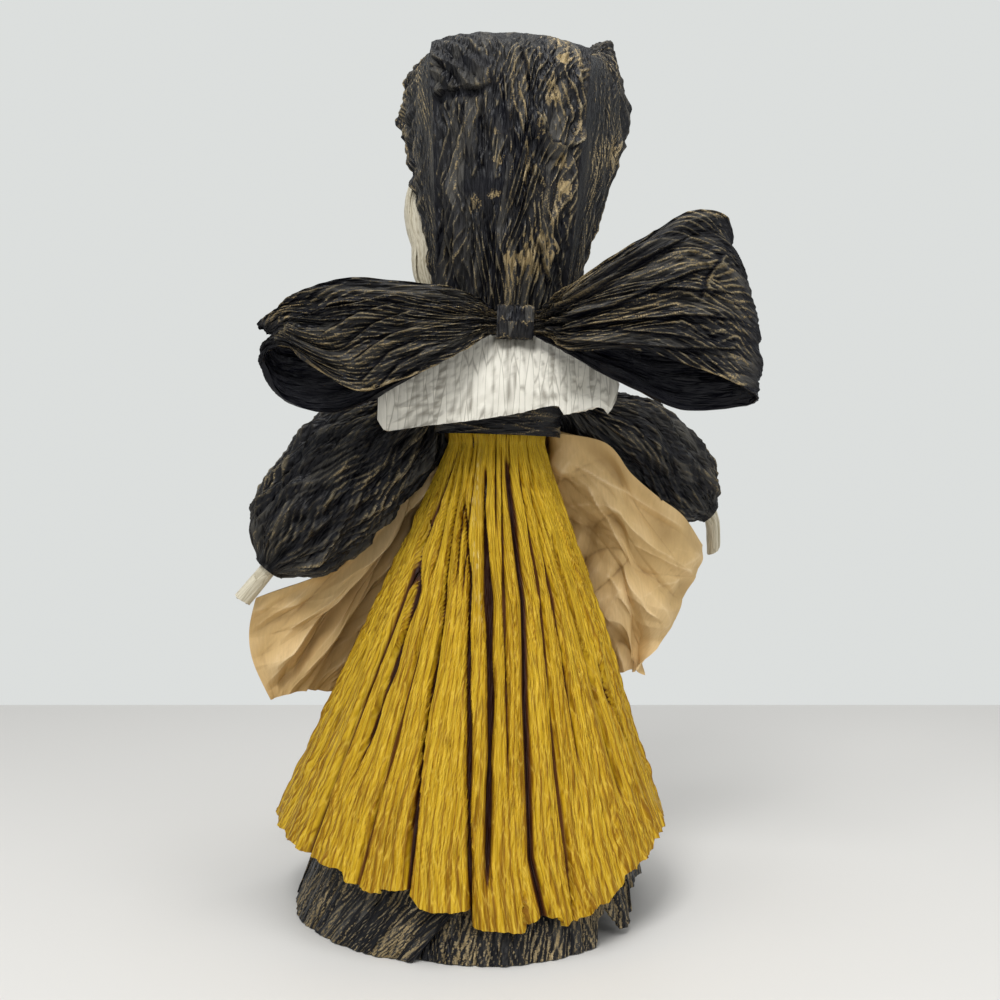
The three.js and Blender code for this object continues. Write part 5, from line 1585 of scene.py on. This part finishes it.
def bow_loop(name, side, end, top, bottom, seed, folds):
    """A loop with pleats that fan out from the pinch and the folds seen in the photograph."""
    u, v, points = loop_surface(side, end, top, bottom)
    if side < 0:
        u, points = 1 - u[:, ::-1], points[:, ::-1]
    across = u * BOW_ACROSS + 1.5 * noise(u * 4, v * 13, seed + 11)
    along = v * BOW_ALONG
    near = ease(0.55, 0.45, v)
    turn = np.exp(-(((v - 0.5) / 0.06) ** 2))
    fan = 0.45 * crumple(across, along, seed) + 0.8 * creases(across, along, 8.5, 90.0, seed + 5)
    height, crest = crinkle(across, along, seed + 2, size=1.4, ridges=True)
    ends = ease(0.02, 0.14, v) * (1 - ease(0.86, 0.98, v))
    height = (0.75 * height + fan - 0.25) * ends * (1 - 0.6 * turn)
    folded, foot = fold_lines(points[..., 0], points[..., 2], folds)
    height = height + (1.5 * folded - 1.2) * near * ends
    hem = np.exp(-((np.minimum(u, 1 - u) * 45.0) ** 2))
    gold = 0.52 + 0.22 * crest + 0.03 * fan + 0.5 * noise(across / 17, along / 30, seed + 9) + 0.3 * hem
    # The far face takes less gold and painted shade; the feet of folds take painted shade.
    gold, dark = gold - 0.5 * (1 - near), np.maximum(1 - near, 0.9 * foot)
    thing = paper(name, figure(points), RIBBON, height, across, along, gold=gold, inside=dark)
    dress(thing, BLACK_GOLD, "body", name.replace("_ribbon", ""))


LEFT_FOLDS = [
    ([(29, 243), (44, 244), (53, 241), (67, 238), (78, 234)], 2.4, 6), ([(78, 234), (86, 225)], 2.0, 5),
    ([(32, 240), (48, 233), (60, 223)], 2.0, 5), ([(27, 230), (41, 223), (53, 210)], 2.0, 5),
    ([(38, 242), (53, 237), (66, 229), (70, 227)], 2.0, 5), ([(27, 235), (42, 229), (56, 218)], 2.0, 4),
    ([(24, 227), (38, 218), (46, 208)], 1.6, 4), ([(58, 249), (80, 243), (88, 237)], 1.6, 5),
]
RIGHT_FOLDS = [
    ([(-13, 239), (-32, 248), (-51, 260), (-73, 273)], 2.2, 6),
    ([(-15, 236), (-42, 243), (-71, 257), (-85, 261)], 2.4, 6),
    ([(-16, 233), (-42, 237), (-67, 240), (-93, 240)], 2.4, 6),
    ([(-17, 231), (-42, 229), (-67, 228), (-96, 229)], 2.2, 5),
    ([(-19, 242), (-41, 257), (-61, 270)], 1.8, 5), ([(-85, 266), (-76, 254), (-74, 244)], 1.4, 4),
    ([(-42, 234), (-62, 233), (-77, 231)], 1.6, 4), ([(-50, 250), (-70, 250), (-90, 250)], 1.6, 5),
]
bow_loop("bow_left_loop_ribbon", 1, LEFT_END, LEFT_TOP, LEFT_BOTTOM, 401, LEFT_FOLDS)
bow_loop("bow_right_loop_ribbon", -1, RIGHT_END, RIGHT_TOP, RIGHT_BOTTOM, 421, RIGHT_FOLDS)

# %% Bow band
BAND_DEPTH, BAND_TALL, BAND_WIDTH, BAND_ROUND = 4.0, 6.6, 14.5, 36.0
BAND_GRID = (160, 50)


def bow_band():
    """A squarish ring round the pinch: each direction is stretched to a curve between a circle and a
    square. Its creases run round it."""
    u, v = grid(*BAND_GRID)
    c, s = np.cos(2 * np.pi * u), np.sin(2 * np.pi * u)
    square = 1 / (np.abs(c) ** 4 + np.abs(s) ** 4) ** 0.25
    x = BOW_X + (v - 0.5) * BAND_WIDTH
    points = np.stack([x, BOW_Y + BAND_DEPTH * c * square, BOW_Z + BAND_TALL * s * square], axis=-1)
    across, along = v * BAND_WIDTH, u * BAND_ROUND
    sharp = creases(along, across, 9.0, 2.2, 441, BAND_ROUND)
    gold = 0.34 + 0.3 * sharp
    height = 0.35 * sharp - 0.1
    thing = paper("bow_band_ribbon", figure(points), RIBBON, height, across, along, ring=True, gold=gold)
    dress(thing, BLACK_GOLD, "body", "bow_band")


bow_band()

# %% [markdown]
# ## Apron
# A sheet of brown paper is gathered under the waistband in front, and each hand holds out one of its
# upper corners. It is made as two halves that meet in a smooth seam at the front. Wrapping paper
# crumples into flat facets, so its creases are broad and sharp.

# %% Apron edges
APRON_WAIST, KRAFT_SHEET = 23.7, 0.35
APRON_SHARP = math.radians(15)
CORNER_OFF = 5.7
# How far the upper edge keeps off each sleeve.
APRON_GAP = {"left": 0.3, "right": 2.0}
# The hem's directions, heights as shares of the waist's, and distances from the overskirt.
APRON_HEM = [
    (199, 0.468, 10), (203, 0.463, 9), (207, 0.458, 9), (235, 0.433, 7), (300, 0.398, 6), (336, 0.393, 10),
    (345, 0.398, 14), (352, 0.383, 23),
]


def beside_sleeve(arm, s, turn):
    """A point just off a sleeve: s along it, turned from straight below towards the back."""
    pivot, along, deep, up, length = arm_frame(arm)
    off = float(sleeve_radius(arm, np.array(s))) + APRON_GAP[arm]
    below = pivot + along * length * s - up * off * math.cos(turn)
    return below + deep * off * SLEEVE_DEPTH * math.sin(turn)


def held_corner(arm, towards):
    """Where a hand holds a corner: three quarters along the hand, just outside the roll."""
    wrist, tip = hand_ends(arm)
    return mix(wrist, tip, 0.75) + np.array(towards) / np.linalg.norm(towards) * CORNER_OFF


def waist_point(degrees, drop):
    """A point of the gathered top, under the waistband."""
    angle = math.radians(degrees)
    return (APRON_WAIST * math.cos(angle), APRON_WAIST * math.sin(angle), WAISTBAND_FOOT + 2.0 - drop)


LEFT_TURN, RIGHT_TURN = math.radians(-20), math.radians(60)
APRON_TOP = [held_corner("right", (0.75, 0.45, -0.48))]
APRON_TOP += [beside_sleeve("right", s, RIGHT_TURN) for s in (0.8, 0.6, 0.4, 0.2)]
APRON_TOP += [waist_point(d, drop) for d, drop in ((183, 0), (215, 0), (263, 0), (305, 0), (348, 2))]
APRON_TOP += [beside_sleeve("left", s, LEFT_TURN) for s in (0.25, 0.45, 0.65, 0.85)]
APRON_TOP += [held_corner("left", (-0.4, -0.7, -0.55))]


def apron_hem():
    """The hem's points: the overskirt's radius at that direction and height, plus a clearance."""
    points = []
    for degrees, share, out in APRON_HEM:
        height = share * WAIST_TOP
        side = math.cos(math.radians(degrees))
        hem = 13.0 + 22.0 * abs(side) ** 1.3
        t = (WAIST_TOP - height) / (WAIST_TOP - hem)
        radius = mix(OVER_WAIST, float(over_hem_radius(degrees)), t) + 2.7 + out
        points.append((radius * side, radius * math.sin(math.radians(degrees)), height))
    return points


print("apron top has", len(APRON_TOP), "points")

# %% Apron halves
# Each crease from x, z to x, z, its height and its width.
APRON_CREASES = [
    ((-33, 184), (-82, 158), 1.6, 1.8), ((-40, 174), (-58, 142), 1.6, 1.8),
    ((-58, 142), (-46, 128), -1.4, 2.0), ((-52, 160), (-78, 128), -1.0, 2.4),
    ((-60, 150), (-86, 138), 1.2, 1.8), ((-50, 136), (-72, 118), 1.2, 1.6),
    ((66, 126), (96, 84), 1.6, 1.8), ((74, 130), (102, 108), 1.3, 1.8), ((60, 140), (84, 116), -1.4, 1.8),
    ((70, 118), (80, 92), -1.2, 2.0), ((52, 158), (72, 136), 1.0, 1.6),
]
APRON_MIDDLE = 0.515
APRON_GRID = (190, 160)
# The row of points along which the distance across is measured.
MEASURED_ROW = 100


def flat_facets(across, along, seed, sets, least, most, slope):
    """Crumpled paper: a sum of triangle waves in chance directions, which is flat between sharp lines.
    Periods run from least to most, and each wave's sides have about the given slope."""
    pick = np.random.default_rng(seed)
    total = 0.0
    for _ in range(sets):
        turn, period, shift = pick.uniform(0, np.pi), pick.uniform(least, most), pick.uniform(0, 1)
        bent = 0.15 * noise(across / period / 1.5, along / period / 1.5, int(pick.integers(999)))
        place = (across * math.cos(turn) + along * math.sin(turn)) / period + shift + bent
        wave = 4 * np.abs(place - np.floor(place) - 0.5) - 1
        shown = ease(-0.3, 0.3, noise(across / 45.0, along / 45.0, int(pick.integers(999))))
        total = total + wave * period * slope / 4 * shown
    return total


def apron_half(arm, low, high, seed):
    """Straight lines from the top edge to the hem for u from low to high, with gathers at the waist,
    wings that bulge outwards, facets and the photograph's main creases. All of it is calmer at the
    waist, at the free edges and at the seam."""
    w, v = grid(*APRON_GRID)
    u = mix(low, high, w)
    points = mix(spline(APRON_TOP, u), spline(apron_hem(), u), v[..., None])
    wing = 6.0 * np.abs(2 * u - 1) ** 6 * np.sin(np.pi * v)
    centred = np.exp(-(((u - 0.5) / 0.16) ** 2))
    fold = 0.5 * (1 + v) * centred * np.sin(2 * np.pi * 9 * u)
    flat = points * [1, 1, 0]
    out = flat / np.linalg.norm(flat, axis=-1, keepdims=True)
    points = points + out * (fold + wing)[..., None]
    steps = np.linalg.norm(np.diff(points[MEASURED_ROW], axis=0), axis=-1)
    across = np.broadcast_to(np.concatenate([[0.0], np.cumsum(steps)]), v.shape)
    along = v * np.linalg.norm(points[-1] - points[0], axis=-1)
    facets = flat_facets(across, along, seed, 6, 22.0, 60.0, 0.42)
    small = flat_facets(across, along, seed + 1, 8, 7.0, 18.0, 0.2)
    # crest only colours the paper, as painted light and shade of facets and creases.
    crest = 0.1 * facets + 0.3 * small
    height = facets + small
    x, z = points[..., 0], points[..., 2]
    for a, b, depth, wide in APRON_CREASES:
        off, share = line_off(x, z, a, b)
        reach = ease(-0.1, 0.1, share) * (1 - ease(0.85, 1.1, share))
        mark = depth * reach * np.exp(-np.abs(off / wide))
        height, crest = height + mark, crest + 0.5 * mark
    calm = ease(0.0, 0.15, v) * mix(0.35, 1.0, np.abs(2 * u - 1) ** 0.5)
    calm = calm * mix(1.0, 0.6, ease(0.85, 1.0, v))
    calm = calm * mix(0.5, 1.0, ease(0.0, 0.05, np.minimum(u, 1 - u)))
    calm = calm * ease(0.0, 0.06, np.abs(u - APRON_MIDDLE))
    points[..., 2] += 1.0 * noise(across / 9.0, v * 0, seed + 5) * v**8
    name = "apron_%s_half" % arm
    crest = np.clip(crest, -1, 1)
    thing = paper(name, figure(points), KRAFT_SHEET, height * calm, across, along, crest=crest)
    thing.data.set_sharp_from_angle(angle=APRON_SHARP)
    thing.data.materials.append(KRAFT)
    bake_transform(thing)
    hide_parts("apron")
    print(name, len(thing.data.vertices), "points")


apron_half("right", 0.0, APRON_MIDDLE, 461)
apron_half("left", APRON_MIDDLE, 1.0, 471)

# %% [markdown]
# ## Inner pieces
# The skewer, the core, the wires and ties and the foam ball keep their CAD shapes: they are hidden
# or tiny. They still get proper finishes, patterned through the object's own coordinates.


# %% Inner finishes
def skewer_wood():
    """Pale wood with grain along the skewer: noise stretched upwards."""
    f = Finish("skewer_wood", 0.6, 0.3)
    stretched = f.scaled(f.place(), (1.0, 1.0, 0.05))
    grain = f.node("ShaderNodeTexNoise", Vector=stretched, Scale=1500.0, Detail=4.0).outputs[0]
    f.give("Base Color", f.ramp(grain, (0.3, (0.40, 0.25, 0.12)), (0.7, (0.66, 0.47, 0.27))))
    f.bump(grain, 0.3, 0.0003)
    return f.material


def tie_wire():
    """Dull steel wire with a little uneven tarnish."""
    f = Finish("tie_wire", 0.35, 0.5)
    f.shader.inputs["Metallic"].default_value = 1.0
    tarnish = f.blotches(0.002)
    f.give("Base Color", f.ramp(tarnish, (0.3, (0.13, 0.12, 0.11)), (0.7, (0.30, 0.29, 0.28))))
    f.give("Roughness", f.fade(tarnish, 0.3, 0.7, 0.55, 0.3))
    return f.material


def foam_ball():
    """White foam of pressed beads: cells of a Voronoi pattern, sunk between."""
    f = Finish("foam_ball", 0.8, 0.25)
    beads = f.node("ShaderNodeTexVoronoi", Vector=f.place(), Scale=420.0).outputs["Distance"]
    f.give("Base Color", f.ramp(beads, (0.2, (0.82, 0.81, 0.78)), (0.8, (0.62, 0.61, 0.58))))
    f.bump(f.math("SUBTRACT", 1.0, beads), 0.4, 0.0006)
    return f.material


def core_paper():
    """Crumpled cream paper packed round the skewer."""
    f = Finish("core_paper", 0.7, 0.3)
    wads = f.blotches(0.006, 6.0)
    f.give("Base Color", f.ramp(wads, (0.3, (0.42, 0.36, 0.25)), (0.65, (0.70, 0.64, 0.50))))
    f.bump(wads, 0.6, 0.0012)
    return f.material


INNER = {
    "spine_rod": skewer_wood(),
    "torso_core": core_paper(),
    "head_core": foam_ball(),
}
wire_finish = tie_wire()
for node in ("shoulder_wire", "waist_tie", "neck_tie"):
    INNER[node] = wire_finish
for arm in ARMS:
    INNER["%s_arm_wire" % arm] = INNER["%s_wrist_tie" % arm] = wire_finish
for node, finish in INNER.items():
    nodes[node].data.materials.clear()
    nodes[node].data.materials.append(finish)
print("inner pieces:", len(INNER))
